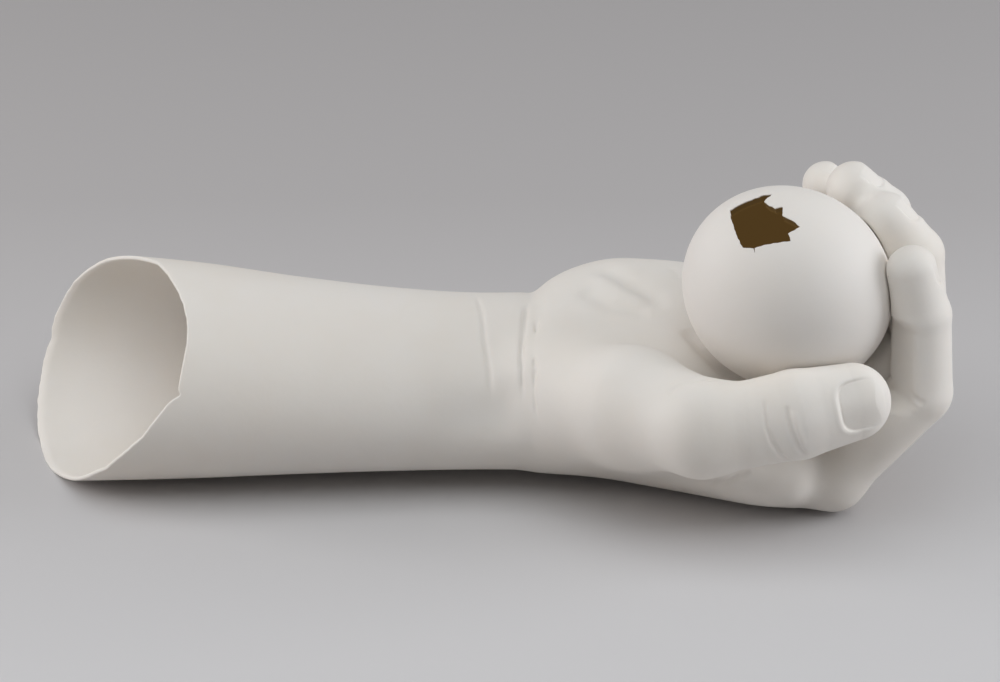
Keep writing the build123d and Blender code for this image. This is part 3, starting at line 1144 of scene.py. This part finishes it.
@dataclass
class Forearm:
    """The hollow forearm, with a thin broken rim that slants across its open end.

    Args:
        clay: the finished field, whose skin the forearm's outside follows up to the palm.
        sizes: the driving sizes.
        place: the way into the row frame.
        near_rim: picture points of the rim on the near side, from the top down.
        far_rim: picture points of the rim on the far side.
        view: the picture's viewpoint.
        rim_reach: the stretch of X in which the rim lies.
        rim_wall: the wall's thickness at the rim.
        taper: how far from the rim the wall is fully thick.
        around: faces round the arm.
        along: faces along it.
        lip: how far the rounding of the rim reaches along the arm.
        lip_faces: how many faces round it.
        edge_on: how squarely a place must face the camera, or away from it, to be met by the trace.
        samples: at how many places along X the trace is looked for.
        rounds: how many times the outside is pulled onto the clay.
    """

    clay: Clay
    sizes: HandSizes
    place: Placement
    near_rim: tuple[Pair, ...] = (
        (125, 254), (145, 255.3), (157, 261), (168, 272.5), (177, 287), (183, 302), (187, 318), (188, 333),
        (186.3, 347), (183, 362), (180, 380), (178, 390), (181.5, 396.5), (176, 397.5), (170, 402),
        (158, 417), (142, 438), (125, 453), (110, 465.5), (107.5, 469), (98, 472.5), (87, 478), (73, 480.3))
    far_rim: tuple[Pair, ...] = (
        (125, 254), (112, 256), (98, 262), (87, 269), (75, 280), (67, 292), (60, 305), (55, 318), (52, 330),
        (52.5, 338), (48.5, 346), (44, 362), (41, 382), (38.5, 400), (38, 417), (38.7, 432), (41.7, 448),
        (46, 462), (52, 471), (60, 477), (73, 480.3))
    view: Viewpoint = field(default_factory=Viewpoint)
    rim_reach: Pair = (-172.0, -85.0)
    rim_wall: float = 1.3
    taper: float = 32.0
    around: int = 300
    along: int = 190
    lip: float = 0.5
    lip_faces: int = 6
    edge_on: float = 0.22
    samples: int = 260
    rounds: int = 3

    def rim_at(self, turns: Array) -> Array:
        """The rim's distance from the wrist at each turn, where the picture's two traces of it are met."""
        found = np.full(len(turns), np.nan)
        tilt = math.radians(self.sizes.rim_tilt)
        half, depth = self.sizes.rim_half
        x = np.linspace(*self.rim_reach, self.samples)
        for number, turn in enumerate(np.radians(turns)):
            out = unit(triple(0, math.cos(turn) / half, math.sin(turn) / depth))
            out = triple(0, out[1] * math.cos(tilt) - out[2] * math.sin(tilt),
                         out[1] * math.sin(tilt) + out[2] * math.cos(tilt))
            facing = float(out @ TO_CAMERA)
            if abs(facing) < self.edge_on:
                continue
            trace = np.array(self.near_rim if facing > 0 else self.far_rim)
            spots = self.view.seen(self.ring(x, np.full(len(x), turn), 0.0))
            beyond = spots[:, 0] - np.interp(spots[:, 1], trace[:, 1], trace[:, 0])
            crossings = np.flatnonzero(np.diff(np.sign(beyond)) > 0)
            if len(crossings):
                found[number] = -x[crossings[-1]]
        known = np.flatnonzero(~np.isnan(found))
        rim = np.interp(np.arange(len(turns)), known, found[known], period=len(turns))
        blur = np.hanning(5) / np.hanning(5).sum()
        return np.convolve(np.concatenate([rim[-2:], rim, rim[:2]]), blur, mode="valid")

    def ring(self, x: Array, turns: Array, wall: float | Array) -> Array:
        """Points of the sleeve's section at each X and turn, drawn in by a wall."""
        middle_y, middle_z, half, depth, _, _, tilt = self.sizes.sleeve().section(x)
        across = (half - wall) * np.cos(turns)
        rise = (depth - wall) * np.sin(turns)
        return np.column_stack([x, middle_y + across * np.cos(tilt) - rise * np.sin(tilt),
                                middle_z + across * np.sin(tilt) + rise * np.cos(tilt)])

    def build(self) -> bpy.types.Object:
        """Lays rings from the wrist out to the rim, over it and back inside."""
        turns = np.linspace(0, 360, self.around, endpoint=False)
        rim = self.rim_at(turns)
        angle = np.radians(turns)
        shares = np.linspace(0, 1, self.along + 1)
        outside = np.concatenate([self.ring(-(rim - self.lip) * share, angle, 0.0) for share in shares])
        distance, ways = self.clay.slope(outside)
        for _ in range(self.rounds):
            sideways = ways.copy()
            sideways[:, 0] = 0.0
            outside -= sideways * np.clip(distance, -1.0, 1.0)[:, None]
            distance, ways = self.clay.slope(outside)
        outside[:self.around, 0] = 0.0
        rings = [outside]
        for turn in np.linspace(0, math.pi, self.lip_faces + 1)[1:-1]:
            rings.append(self.ring(-(rim - self.lip * (1 - math.sin(turn))), angle,
                                   self.rim_wall / 2 * (1 - math.cos(turn))))
        wall, deep_wall = self.sizes.forearm_wall, self.sizes.palm_wall
        for share in np.linspace(1, 0, self.along // 3)[1:]:
            thick = self.rim_wall + (wall - self.rim_wall) * ease((1 - share) * rim / self.taper)
            thick = thick + (deep_wall - wall) * (1 - share) ** 6
            rings.append(self.ring(-(rim - self.lip) * share, angle, thick))
        points = np.concatenate(rings)
        points[:, 2] = np.maximum(points[:, 2], 0.0)
        normals = np.zeros_like(points)
        body = slice(0, self.around * (self.along - 2))
        normals[body] = ways[body]
        rows = np.arange(len(points)).reshape(-1, self.around)
        after = np.roll(rows, -1, axis=1)
        faces = np.stack([rows[1:], after[1:], after[:-1], rows[:-1]], axis=-1).reshape(-1, 4)
        return make_mesh("forearm_skin", self.place.metres(points), faces, normals)


class Kind(Enum):
    """What a socket carries."""

    NUMBER = "NodeSocketFloat"
    VECTOR = "NodeSocketVector"
    COLOUR = "NodeSocketColor"
    TURN = "NodeSocketRotation"
    FINISH = "NodeSocketMaterial"
    SHAPE = "NodeSocketGeometry"


@dataclass(frozen=True)
class Socket:
    """A named input or output of a node group."""

    name: str
    kind: Kind
    default: float | tuple | None = None


class Tree:
    """Lays nodes in a tree."""

    def __init__(self, tree: bpy.types.NodeTree) -> None:
        """Keeps the tree that the nodes go into."""
        self.tree = tree

    def node(self, kind: str, inputs: dict[str | int, object] | None = None,
             **settings: object) -> bpy.types.Node:
        """Adds a node.

        Args:
            kind: the node's type.
            inputs: for an input by name or number, a socket to link or a constant to set.
            settings: the node's properties.

        Returns:
            The node.
        """
        made = self.tree.nodes.new(kind)
        for key, value in settings.items():
            setattr(made, key, value)
        self.feed(made, inputs or {})
        return made

    def feed(self, node: bpy.types.Node, inputs: dict[str | int, object]) -> None:
        """Links sockets to a node's inputs and sets the other inputs given as constants."""
        for key, value in inputs.items():
            if isinstance(value, bpy.types.NodeSocket):
                self.tree.links.new(value, node.inputs[key])
            else:
                node.inputs[key].default_value = value

    def maths(self, operation: str, *values: object) -> bpy.types.NodeSocket:
        """A Math node fed with sockets or numbers, and its result."""
        return self.node("ShaderNodeMath", dict(enumerate(values)), operation=operation).outputs[0]

    def mix(self, factor: bpy.types.NodeSocket, first: object, second: object) -> bpy.types.NodeSocket:
        """The colour between a first and a second one, each a socket or a constant."""
        inputs = {"Factor": factor, "A": first, "B": second}
        return self.node("ShaderNodeMix", inputs, data_type="RGBA").outputs["Result"]

    def noise(self, vector: bpy.types.NodeSocket, **inputs: object) -> bpy.types.NodeSocket:
        """A noise texture's strength at a place."""
        return self.node("ShaderNodeTexNoise", {"Vector": vector, **inputs}).outputs["Fac"]


def shader_group(name: str, inputs: tuple[Socket, ...],
                 outputs: tuple[Socket, ...]) -> tuple[Tree, Sockets, bpy.types.Node]:
    """An empty shader node group with named sockets.

    Args:
        name: the group's name.
        inputs: its inputs.
        outputs: its outputs.

    Returns:
        The group's tree, the sockets that bring in its inputs, and its output node.
    """
    group = bpy.data.node_groups.new(name, "ShaderNodeTree")
    for way, sockets in (("INPUT", inputs), ("OUTPUT", outputs)):
        for socket in sockets:
            made = group.interface.new_socket(socket.name, in_out=way, socket_type=socket.kind.value)
            if socket.default is not None:
                made.default_value = socket.default
    tree = Tree(group)
    return tree, tree.node("NodeGroupInput").outputs, tree.node("NodeGroupOutput")


def clouding_group() -> bpy.types.NodeTree:
    """Soft clouds of warmer and cooler white, as in fired porcelain."""
    tree, given, result = shader_group(
        "Clouding",
        (Socket("Vector", Kind.VECTOR), Socket("Light", Kind.COLOUR, (0.8, 0.8, 0.8, 1)),
         Socket("Warm", Kind.COLOUR, (0.7, 0.7, 0.7, 1)), Socket("Scale", Kind.NUMBER, 30.0)),
        (Socket("Color", Kind.COLOUR), Socket("Mask", Kind.NUMBER)))
    broad = tree.noise(given["Vector"], Scale=given["Scale"], Detail=4.0, Roughness=0.55)
    spread = tree.node("ShaderNodeMapRange", {"Value": broad, "From Min": 0.38, "From Max": 0.68})
    mask = spread.outputs["Result"]
    tree.feed(result, {"Color": tree.mix(mask, given["Light"], given["Warm"]), "Mask": mask})
    return tree.tree


def pinhole_group() -> bpy.types.NodeTree:
    """Sparse pinholes and specks left by the casting."""
    tree, given, result = shader_group(
        "Pinholes",
        (Socket("Vector", Kind.VECTOR), Socket("Scale", Kind.NUMBER, 60.0),
         Socket("Size", Kind.NUMBER, 0.06), Socket("Share", Kind.NUMBER, 0.1)),
        (Socket("Mask", Kind.NUMBER),))
    cells = tree.node("ShaderNodeTexVoronoi",
                      {"Vector": given["Vector"], "Scale": given["Scale"], "Randomness": 1.0})
    parts = tree.node("ShaderNodeSeparateColor", {"Color": cells.outputs["Color"]}).outputs
    size = tree.maths("MULTIPLY", given["Size"], tree.maths("ADD", parts["Green"], 0.35))
    near = tree.maths("SUBTRACT", 1.0, tree.maths("DIVIDE", cells.outputs["Distance"], size))
    dot = tree.maths("MINIMUM", tree.maths("MULTIPLY", tree.maths("MAXIMUM", near, 0.0), 2.0), 1.0)
    chosen = tree.maths("LESS_THAN", parts["Red"], given["Share"])
    tree.feed(result, {"Mask": tree.maths("MULTIPLY", dot, chosen)})
    return tree.tree


def edge_group() -> bpy.types.NodeTree:
    """A mask for what lies under the skin of an oval ball, such as the broken edge of its shell."""
    tree, given, result = shader_group(
        "Broken edge",
        (Socket("Vector", Kind.VECTOR), Socket("Middle", Kind.VECTOR), Socket("Axis", Kind.VECTOR),
         Socket("Half length", Kind.NUMBER, 0.03), Socket("Half width", Kind.NUMBER, 0.03),
         Socket("Skin", Kind.NUMBER, 0.0003)),
        (Socket("Mask", Kind.NUMBER),))

    def vector_maths(operation: str, *values: bpy.types.NodeSocket) -> Sockets:
        """A Vector Math node's results."""
        return tree.node("ShaderNodeVectorMath", dict(enumerate(values)), operation=operation).outputs

    def squared(value: bpy.types.NodeSocket) -> bpy.types.NodeSocket:
        """A value times itself."""
        return tree.maths("POWER", value, 2.0)

    offset = vector_maths("SUBTRACT", given["Vector"], given["Middle"])["Vector"]
    ahead = squared(vector_maths("DOT_PRODUCT", offset, given["Axis"])["Value"])
    aside = tree.maths("SUBTRACT", squared(vector_maths("LENGTH", offset)["Value"]), ahead)
    lengths = tree.maths("DIVIDE", ahead, squared(given["Half length"]))
    widths = tree.maths("DIVIDE", aside, squared(given["Half width"]))
    share = tree.maths("SQRT", tree.maths("ADD", lengths, widths))
    under = tree.maths("MULTIPLY", tree.maths("SUBTRACT", 1.0, share), given["Half width"])
    tree.feed(result, {"Mask": tree.maths("GREATER_THAN", under, given["Skin"])})
    return tree.tree


def principled(material: bpy.types.Material) -> bpy.types.Node:
    """A material's Principled node."""
    return next(node for node in material.node_tree.nodes if node.type == "BSDF_PRINCIPLED")


def new_material(name: str) -> tuple[bpy.types.Material, Tree, bpy.types.NodeSocket]:
    """A material, its tree and its socket of Object coordinates."""
    material = bpy.data.materials.new(name)
    material.use_nodes = True
    tree = Tree(material.node_tree)
    return material, tree, tree.node("ShaderNodeTexCoord").outputs["Object"]


@dataclass(frozen=True)
class Bisque:
    """Unglazed fired porcelain.

    Args:
        name: the material's name.
        light: its main colour.
        warm: the colour of its warmer clouds.
        speck: the colour of its specks.
        roughness: how matt it is at its smoothest.
        specks: how many cells hold a speck.
        grain: how strongly the fired grain shows.
        soft: how far light wanders inside it, as a weight.
    """

    name: str
    light: Point
    warm: Point
    speck: Point = (0.30, 0.27, 0.24)
    roughness: float = 0.57
    specks: float = 0.05
    grain: float = 0.25
    soft: float = 0.12

    def build(self, clouding: bpy.types.NodeTree, pinholes: bpy.types.NodeTree) -> bpy.types.Material:
        """Lays the material's nodes.

        Args:
            clouding: the clouding group.
            pinholes: the pinhole group.

        Returns:
            The material.
        """
        material, tree, place = new_material(self.name)
        cloud_inputs = {"Vector": place, "Light": (*self.light, 1), "Warm": (*self.warm, 1), "Scale": 22.0}
        clouds = tree.node("ShaderNodeGroup", cloud_inputs, node_tree=clouding)
        hole_inputs = {"Vector": place, "Scale": 75.0, "Size": 0.035, "Share": self.specks}
        holes = tree.node("ShaderNodeGroup", hole_inputs, node_tree=pinholes).outputs["Mask"]
        fine = tree.noise(place, Scale=900.0, Detail=3.0)
        swell = tree.noise(place, Scale=120.0, Detail=2.0)
        relief = tree.maths("ADD", tree.maths("MULTIPLY", fine, 0.18), swell)
        relief = tree.maths("SUBTRACT", relief, tree.maths("MULTIPLY", holes, 1.5))
        bump = tree.node("ShaderNodeBump", {"Strength": self.grain, "Distance": 0.0004, "Height": relief})
        speckled = tree.maths("MULTIPLY", holes, 0.75)
        tree.feed(principled(material), {
            "Base Color": tree.mix(speckled, clouds.outputs["Color"], (*self.speck, 1)),
            "Roughness": tree.maths("ADD", tree.maths("MULTIPLY", fine, 0.10), self.roughness),
            "Normal": bump.outputs["Normal"],
            "Specular IOR Level": 0.35,
            "Subsurface Weight": self.soft,
            "Subsurface Radius": (1.0, 0.85, 0.7),
            "Subsurface Scale": 0.0025,
        })
        return material


@dataclass(frozen=True)
class SlipWithPaintedGlow:
    """The dark brown slip inside the ball, with a painted glow that lifts it as light would.

    Args:
        name: the material's name.
        colour: its colour.
        lighter: the colour of its lighter clouds.
        roughness: how matt it is.
        painted_inner_light: how strongly the slip glows in its own colour, painted light that lifts it as
            light falling inside the ball would.
        painted_edge_light: the same painted glow on the shell's broken edge.
    """

    name: str = "Brown slip"
    colour: Point = (0.088, 0.052, 0.017)
    lighter: Point = (0.11, 0.065, 0.02125)
    roughness: float = 0.85
    painted_inner_light: float = 0.75
    painted_edge_light: float = 0.525

    def build(self) -> bpy.types.Material:
        """Lays the material's nodes and gives the material."""
        material, tree, place = new_material(self.name)
        clouds = tree.noise(place, Scale=160.0)
        tree.feed(principled(material), {
            "Base Color": tree.mix(clouds, (*self.colour, 1), (*self.lighter, 1)),
            "Roughness": self.roughness,
            "Specular IOR Level": 0.1,
            # painted light: the slip glows in its own colour, as if light fell inside the ball
            "Emission Color": (*self.colour, 1),
            "Emission Strength": self.painted_inner_light,
        })
        return material

    def wrap(self, material: bpy.types.Material, edge: bpy.types.NodeTree, middle: Vector, axis: Vector,
             half_sizes: Pair) -> None:
        """Runs the slip over the broken edge of the shell, with a painted glow there that lifts it as light
        would.

        Args:
            material: the shell's material.
            edge: the broken edge group.
            middle: the ball's middle in metres.
            axis: the way of its long axis.
            half_sizes: half its length and half its width in metres.
        """
        tree = Tree(material.node_tree)
        skin = principled(material)
        place = next(node for node in material.node_tree.nodes if node.type == "TEX_COORD").outputs["Object"]
        half_length, half_width = half_sizes
        mask = tree.node("ShaderNodeGroup", {"Vector": place, "Middle": middle, "Axis": axis,
                                             "Half length": half_length, "Half width": half_width},
                         node_tree=edge).outputs["Mask"]
        bare = skin.inputs["Base Color"].links[0].from_socket
        tree.feed(skin, {
            "Base Color": tree.mix(mask, bare, (*self.colour, 1)),
            "Emission Color": (*self.colour, 1),
            # painted light: the broken edge glows in the slip's colour
            "Emission Strength": tree.maths("MULTIPLY", mask, self.painted_edge_light),
        })


@dataclass
class Ball:
    """The loose oval ball: a thin shell with a jagged hole, and its brown coat.

    Args:
        sizes: the driving sizes.
        place: the way into the row frame.
        wall: the shell's thickness in millimetres.
        coat: the coat's thickness.
        hole_way: the way out through the hole.
        hole_size: the hole's width.
        hole_outline: the hole's corners as shares of its width, with a hairline crack at one of them.
        jag: how long each stretch of the broken edge is.
        jag_depth: how far the edge wanders.
        widening: how much wider the cut is at its outer end, as a share.
        cut_length: how far the cut reaches.
        sharp_angle: the angle in degrees from which an edge looks crisp.
    """

    sizes: HandSizes
    place: Placement
    wall: float = 1.9
    coat: float = 0.6
    hole_way: Point = (-0.28, -0.27, 0.92)
    hole_size: float = 20.0
    hole_outline: tuple[Pair, ...] = (
        (-0.51, 0.34), (-0.50, 0.13), (-0.44, -0.21), (-0.36, -0.47), (-0.206, -0.53),
        (-0.197, -0.61), (-0.188, -0.53), (0.0, -0.52), (0.34, -0.50), (0.32, -0.38), (0.50, -0.26),
        (0.44, -0.18), (0.27, -0.05), (0.28, 0.14), (0.17, 0.11), (0.07, 0.22), (0.02, 0.31), (0.13, 0.50),
        (0.01, 0.51), (-0.17, 0.44), (-0.38, 0.39))
    jag: float = 0.9
    jag_depth: float = 0.10
    widening: float = 0.04
    cut_length: float = 60.0
    sharp_angle: float = 35.0

    def cutter(self) -> bpy.types.Object:
        """A jagged prism along the way out through the hole."""
        way = unit(self.hole_way)
        side = unit(triple(1, 0, 0) - way * way[0])
        over = np.cross(way, side)
        corners = np.array(self.hole_outline) * self.hole_size
        jags = np.random.default_rng(SEED)
        outline = []
        for start, end in zip(corners, np.roll(corners, -1, axis=0)):
            steps = max(int(np.linalg.norm(end - start) / self.jag), 1)
            for step in range(steps):
                shake = jags.normal(0, self.jag_depth, 2) if step else np.zeros(2)
                outline.append(start + (end - start) * step / steps + shake)
        flat = np.array([side * x + over * y for x, y in outline])
        middle = np.asarray(self.sizes.ball_middle)
        points = np.concatenate([middle + flat, middle + flat * (1 + self.widening) + way * self.cut_length])
        count = len(flat)
        walls = [(i, (i + 1) % count, (i + 1) % count + count, i + count) for i in range(count)]
        mesh = bpy.data.meshes.new("hole")
        mesh.from_pydata([tuple(point) for point in self.place.metres(points)], [],
                         [tuple(range(count))[::-1], *walls, tuple(range(count, 2 * count))])
        return put_in_scene("hole", mesh)

    def stretched_ball(self, tree: Tree, given: Sockets, inset: bpy.types.NodeSocket) -> bpy.types.NodeSocket:
        """A unit ball stretched to the ball's sizes.

        Args:
            tree: the tree that the nodes go into.
            given: the group's inputs.
            inset: how far it is drawn in.

        Returns:
            The socket that gives it.
        """
        grain = tree.node("GeometryNodeMeshIcoSphere", {"Radius": 1.0, "Subdivisions": 6})
        position = tree.node("GeometryNodeInputPosition").outputs[0]
        parts = tree.node("ShaderNodeSeparateXYZ", {0: position}).outputs
        half_length = tree.maths("SUBTRACT", given["Half length"], inset)
        half_width = tree.maths("SUBTRACT", given["Half width"], inset)
        halves = {"X": half_length, "Y": half_width, "Z": half_width}
        spot = tree.node("ShaderNodeCombineXYZ",
                         {axis: tree.maths("MULTIPLY", parts[axis], half) for axis, half in halves.items()})
        return tree.node("GeometryNodeSetPosition", {"Geometry": grain.outputs["Mesh"],
                                                     "Position": spot.outputs[0]}).outputs["Geometry"]

    def tree(self, cutter: bpy.types.Object) -> bpy.types.NodeTree:
        """The node tree of an oval shell: two stretched balls and the hole, taken from one another.

        Args:
            cutter: the prism that cuts the hole.

        Returns:
            The tree, with named inputs for its sizes and material.
        """
        group = bpy.data.node_groups.new("Oval shell", "GeometryNodeTree")
        group.is_modifier = True
        for name, kind in (("Half length", Kind.NUMBER), ("Half width", Kind.NUMBER),
                           ("Outer inset", Kind.NUMBER), ("Wall", Kind.NUMBER), ("Turn", Kind.TURN),
                           ("Middle", Kind.VECTOR), ("Finish", Kind.FINISH)):
            group.interface.new_socket(name, in_out="INPUT", socket_type=kind.value)
        group.interface.new_socket("Geometry", in_out="OUTPUT", socket_type=Kind.SHAPE.value)
        tree = Tree(group)
        given = tree.node("NodeGroupInput").outputs

        def take(first: bpy.types.NodeSocket, second: bpy.types.NodeSocket) -> bpy.types.NodeSocket:
            """A first mesh without a second one."""
            return tree.node("GeometryNodeMeshBoolean", {"Mesh 1": first, "Mesh 2": second},
                             operation="DIFFERENCE", solver="EXACT").outputs["Mesh"]

        outer = self.stretched_ball(tree, given, given["Outer inset"])
        inner = self.stretched_ball(tree, given, tree.maths("ADD", given["Outer inset"], given["Wall"]))
        laid = tree.node("GeometryNodeTransform", {"Geometry": take(outer, inner), "Rotation": given["Turn"],
                                                   "Translation": given["Middle"]})
        prism = tree.node("GeometryNodeObjectInfo", {"Object": cutter}, transform_space="RELATIVE")
        holed = take(laid.outputs["Geometry"], prism.outputs["Geometry"])
        smooth = tree.node("GeometryNodeSetShadeSmooth", {"Geometry": holed})
        edges = tree.node("GeometryNodeInputMeshEdgeAngle")
        crisp = tree.maths("GREATER_THAN", edges.outputs["Unsigned Angle"], math.radians(self.sharp_angle))
        sharp = tree.node("GeometryNodeSetShadeSmooth",
                          {"Geometry": smooth.outputs["Geometry"], "Selection": crisp, "Shade Smooth": False},
                          domain="EDGE")
        real = tree.node("GeometryNodeRealizeInstances", {"Geometry": sharp.outputs["Geometry"]})
        dressed = tree.node("GeometryNodeSetMaterial", {"Geometry": real.outputs["Geometry"],
                                                        "Material": given["Finish"]})
        tree.node("NodeGroupOutput", {"Geometry": dressed.outputs["Geometry"]})
        return group

    def build(self, finishes: dict[str, bpy.types.Material]) -> dict[str, bpy.types.Object]:
        """Makes the shell and its coat from the node tree.

        Args:
            finishes: the material of each piece, by the CAD node's name.

        Returns:
            Each piece by the CAD node's name.
        """
        cutter = self.cutter()
        group = self.tree(cutter)
        inputs = {item.name: item.identifier for item in group.interface.items_tree if item.in_out == "INPUT"}
        axis = Vector(unit(self.sizes.ball_axis))
        half_length, half_width = self.sizes.ball_half
        pieces = {}
        for name, inset, wall in (("ball_shell", 0.0, self.wall), ("ball_lining", self.wall, self.coat)):
            piece = put_in_scene(name + "_skin", bpy.data.meshes.new(name))
            modifier = piece.modifiers.new("Shell", "NODES")
            modifier.node_group = group
            values = {"Half length": half_length * MM, "Half width": half_width * MM,
                      "Outer inset": inset * MM, "Wall": wall * MM,
                      "Turn": axis.to_track_quat("X", "Z").to_euler(),
                      "Middle": Vector(self.place.metres(np.asarray(self.sizes.ball_middle))),
                      "Finish": finishes[name]}
            for key, value in values.items():
                modifier[inputs[key]] = value
            graph = bpy.context.evaluated_depsgraph_get()
            mesh = bpy.data.meshes.new_from_object(piece.evaluated_get(graph), depsgraph=graph)
            piece.modifiers.remove(modifier)
            piece.data = mesh
            pieces[name] = piece
        bpy.data.objects.remove(cutter)
        return pieces


@dataclass(frozen=True)
class Lamp:
    """A soft box lamp.

    Args:
        spot: where it hangs, in metres.
        size: its width and height.
        power: its strength in watts.
        colour: its colour.
    """

    spot: Point
    size: Pair
    power: float
    colour: Point

    def hang(self, name: str, aim: Point) -> None:
        """Hangs the lamp and points it at aim."""
        light = bpy.data.lights.new(name, "AREA")
        light.shape = "RECTANGLE"
        light.size, light.size_y = self.size
        light.energy = self.power
        light.color = self.colour
        made = put_in_scene(name, light)
        made.location = self.spot
        made.rotation_euler = (Vector(aim) - Vector(self.spot)).to_track_quat("-Z", "Y").to_euler()


@dataclass
class Studio:
    """The pale table with painted shade towards the back, the soft lamps, the faint sky and the camera.

    Args:
        view: the photograph's viewpoint.
        place: the way into the row frame.
        aim: where the lamps point.
        overhead: the broad lamp above.
        left_side: the lamp at the forearm's end.
        right_side: the lamp at the fingers' end.
        table_reach: half the table's side.
        table_span: the Y at which the table's near colour ends and its far colour begins.
        near_colour: the table in front.
        far_shaded_colour: the table behind, darker with painted shade in place of the lamps' light falling
            off.
        sky_colour: the sky's colour.
        sky_span: the share of Y at which the sky's strength starts and stops growing.
        sky_strength: its strength in front and behind.
        film_width: the camera's sensor in millimetres.
    """

    view: Viewpoint
    place: Placement
    aim: Point = (0.03, 0.0, 0.04)
    overhead: Lamp = Lamp((0.0, -0.24, 1.0), (1.5, 1.0), 6.7, (0.935, 0.975, 1.0))
    left_side: Lamp = Lamp((-0.95, 0.02, 0.34), (0.6, 0.5), 3.9, (1.0, 0.975, 0.98))
    right_side: Lamp = Lamp((0.98, 0.04, 0.34), (0.6, 0.5), 4.6, (0.93, 0.955, 1.0))
    table_reach: float = 6.0
    table_span: Pair = (-0.11, 0.20)
    near_colour: Point = (0.645, 0.632, 0.632)
    far_shaded_colour: Point = (0.495, 0.476, 0.472)
    sky_colour: Point = (1.0, 0.975, 0.98)
    sky_span: Pair = (-0.8, 0.6)
    sky_strength: Pair = (0.13, 0.26)
    film_width: float = 36.0

    @staticmethod
    def along_y(tree: Tree, place: bpy.types.NodeSocket, span: Pair,
                values: Pair = (0.0, 1.0)) -> bpy.types.NodeSocket:
        """A value that changes evenly with Y.

        Args:
            tree: the tree that the nodes go into.
            place: the coordinates.
            span: where it starts and stops to change.
            values: what it is there.

        Returns:
            The socket that gives it.
        """
        y = tree.node("ShaderNodeSeparateXYZ", {0: place}).outputs["Y"]
        spread = tree.node("ShaderNodeMapRange", {"Value": y, "From Min": span[0], "From Max": span[1],
                                                  "To Min": values[0], "To Max": values[1]})
        return spread.outputs["Result"]

    def table(self) -> None:
        """A wide pale table top whose colour darkens towards the back: painted shade in place of the lamps'
        light falling off.
        """
        reach = self.table_reach
        corners = [(-reach, -reach, 0), (reach, -reach, 0), (reach, reach, 0), (-reach, reach, 0)]
        mesh = bpy.data.meshes.new("table_top")
        mesh.from_pydata(corners, [], [(0, 1, 2, 3)])
        material, tree, place = new_material("Pale table")
        # painted shade: the colour darkens with Y towards the back
        behind = self.along_y(tree, place, self.table_span)
        tree.feed(principled(material), {
            "Base Color": tree.mix(behind, (*self.near_colour, 1), (*self.far_shaded_colour, 1)),
            "Roughness": 0.9,
            "Specular IOR Level": 0.1,
        })
        mesh.materials.append(material)
        put_in_scene("table_top", mesh)

    def sky(self) -> None:
        """A faint sky, a little stronger behind the object."""
        world = bpy.data.worlds.new("Soft sky")
        world.use_nodes = True
        tree = Tree(world.node_tree)
        way = tree.node("ShaderNodeTexCoord").outputs["Generated"]
        background = next(node for node in world.node_tree.nodes if node.type == "BACKGROUND")
        tree.feed(background, {"Strength": self.along_y(tree, way, self.sky_span, self.sky_strength),
                               "Color": (*self.sky_colour, 1)})
        bpy.context.scene.world = world

    def camera(self) -> None:
        """The camera at the photograph's viewing angle."""
        data = bpy.data.cameras.new("camera")
        data.sensor_width = self.film_width
        data.lens = self.view.pixels * self.film_width / (2 * self.view.centre[0])
        made = put_in_scene("camera", data)
        made.location = self.place.metres(self.view.place())
        made.rotation_euler = (-Vector(TO_CAMERA)).to_track_quat("-Z", "Y").to_euler()
        bpy.context.scene.camera = made
        bpy.context.scene.view_settings.view_transform = "Standard"

    def build(self) -> None:
        """Sets up the table, the lamps, the sky and the camera."""
        self.table()
        for name in ("overhead", "left_side", "right_side"):
            getattr(self, name).hang(name, self.aim)
        self.sky()
        self.camera()


def main() -> None:
    """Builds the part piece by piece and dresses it."""
    logging.basicConfig(level=logging.INFO, format="%(message)s")
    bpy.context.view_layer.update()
    groups = clouding_group(), pinhole_group()
    hand_bisque = Bisque("Bisque porcelain", light=(0.84, 0.80, 0.748), warm=(0.82, 0.768, 0.70))
    ball_bisque = Bisque("Ball bisque", light=(0.84, 0.80, 0.755), warm=(0.825, 0.778, 0.722), specks=0.015)
    bisque, shell = hand_bisque.build(*groups), ball_bisque.build(*groups)
    slip = SlipWithPaintedGlow()

    anatomy = Anatomy()
    sizes = anatomy.sizes
    place = Placement(sizes)
    half_length, half_width = sizes.ball_half
    slip.wrap(shell, edge_group(), Vector(place.metres(np.asarray(sizes.ball_middle))),
              Vector(unit(sizes.ball_axis)), (half_length * MM, half_width * MM))
    clay = anatomy.clay()
    log.info("clay: %d forms", len(clay.forms))
    pieces = {"forearm_shell": Forearm(clay, sizes, place).build()}
    pieces.update(Hand(anatomy, place).build(clay))
    for piece in pieces.values():
        piece.data.materials.append(bisque)
    ball = Ball(sizes, place).build({"ball_shell": shell, "ball_lining": slip.build()})
    for node, piece in {**pieces, **ball}.items():
        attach(piece, "ball" if node in ball else "arm")
        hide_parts(node)
        log.info("%s: %d faces", piece.name, len(piece.data.polygons))
    Studio(anatomy.view, place).build()


if __name__ == "__main__":
    main()
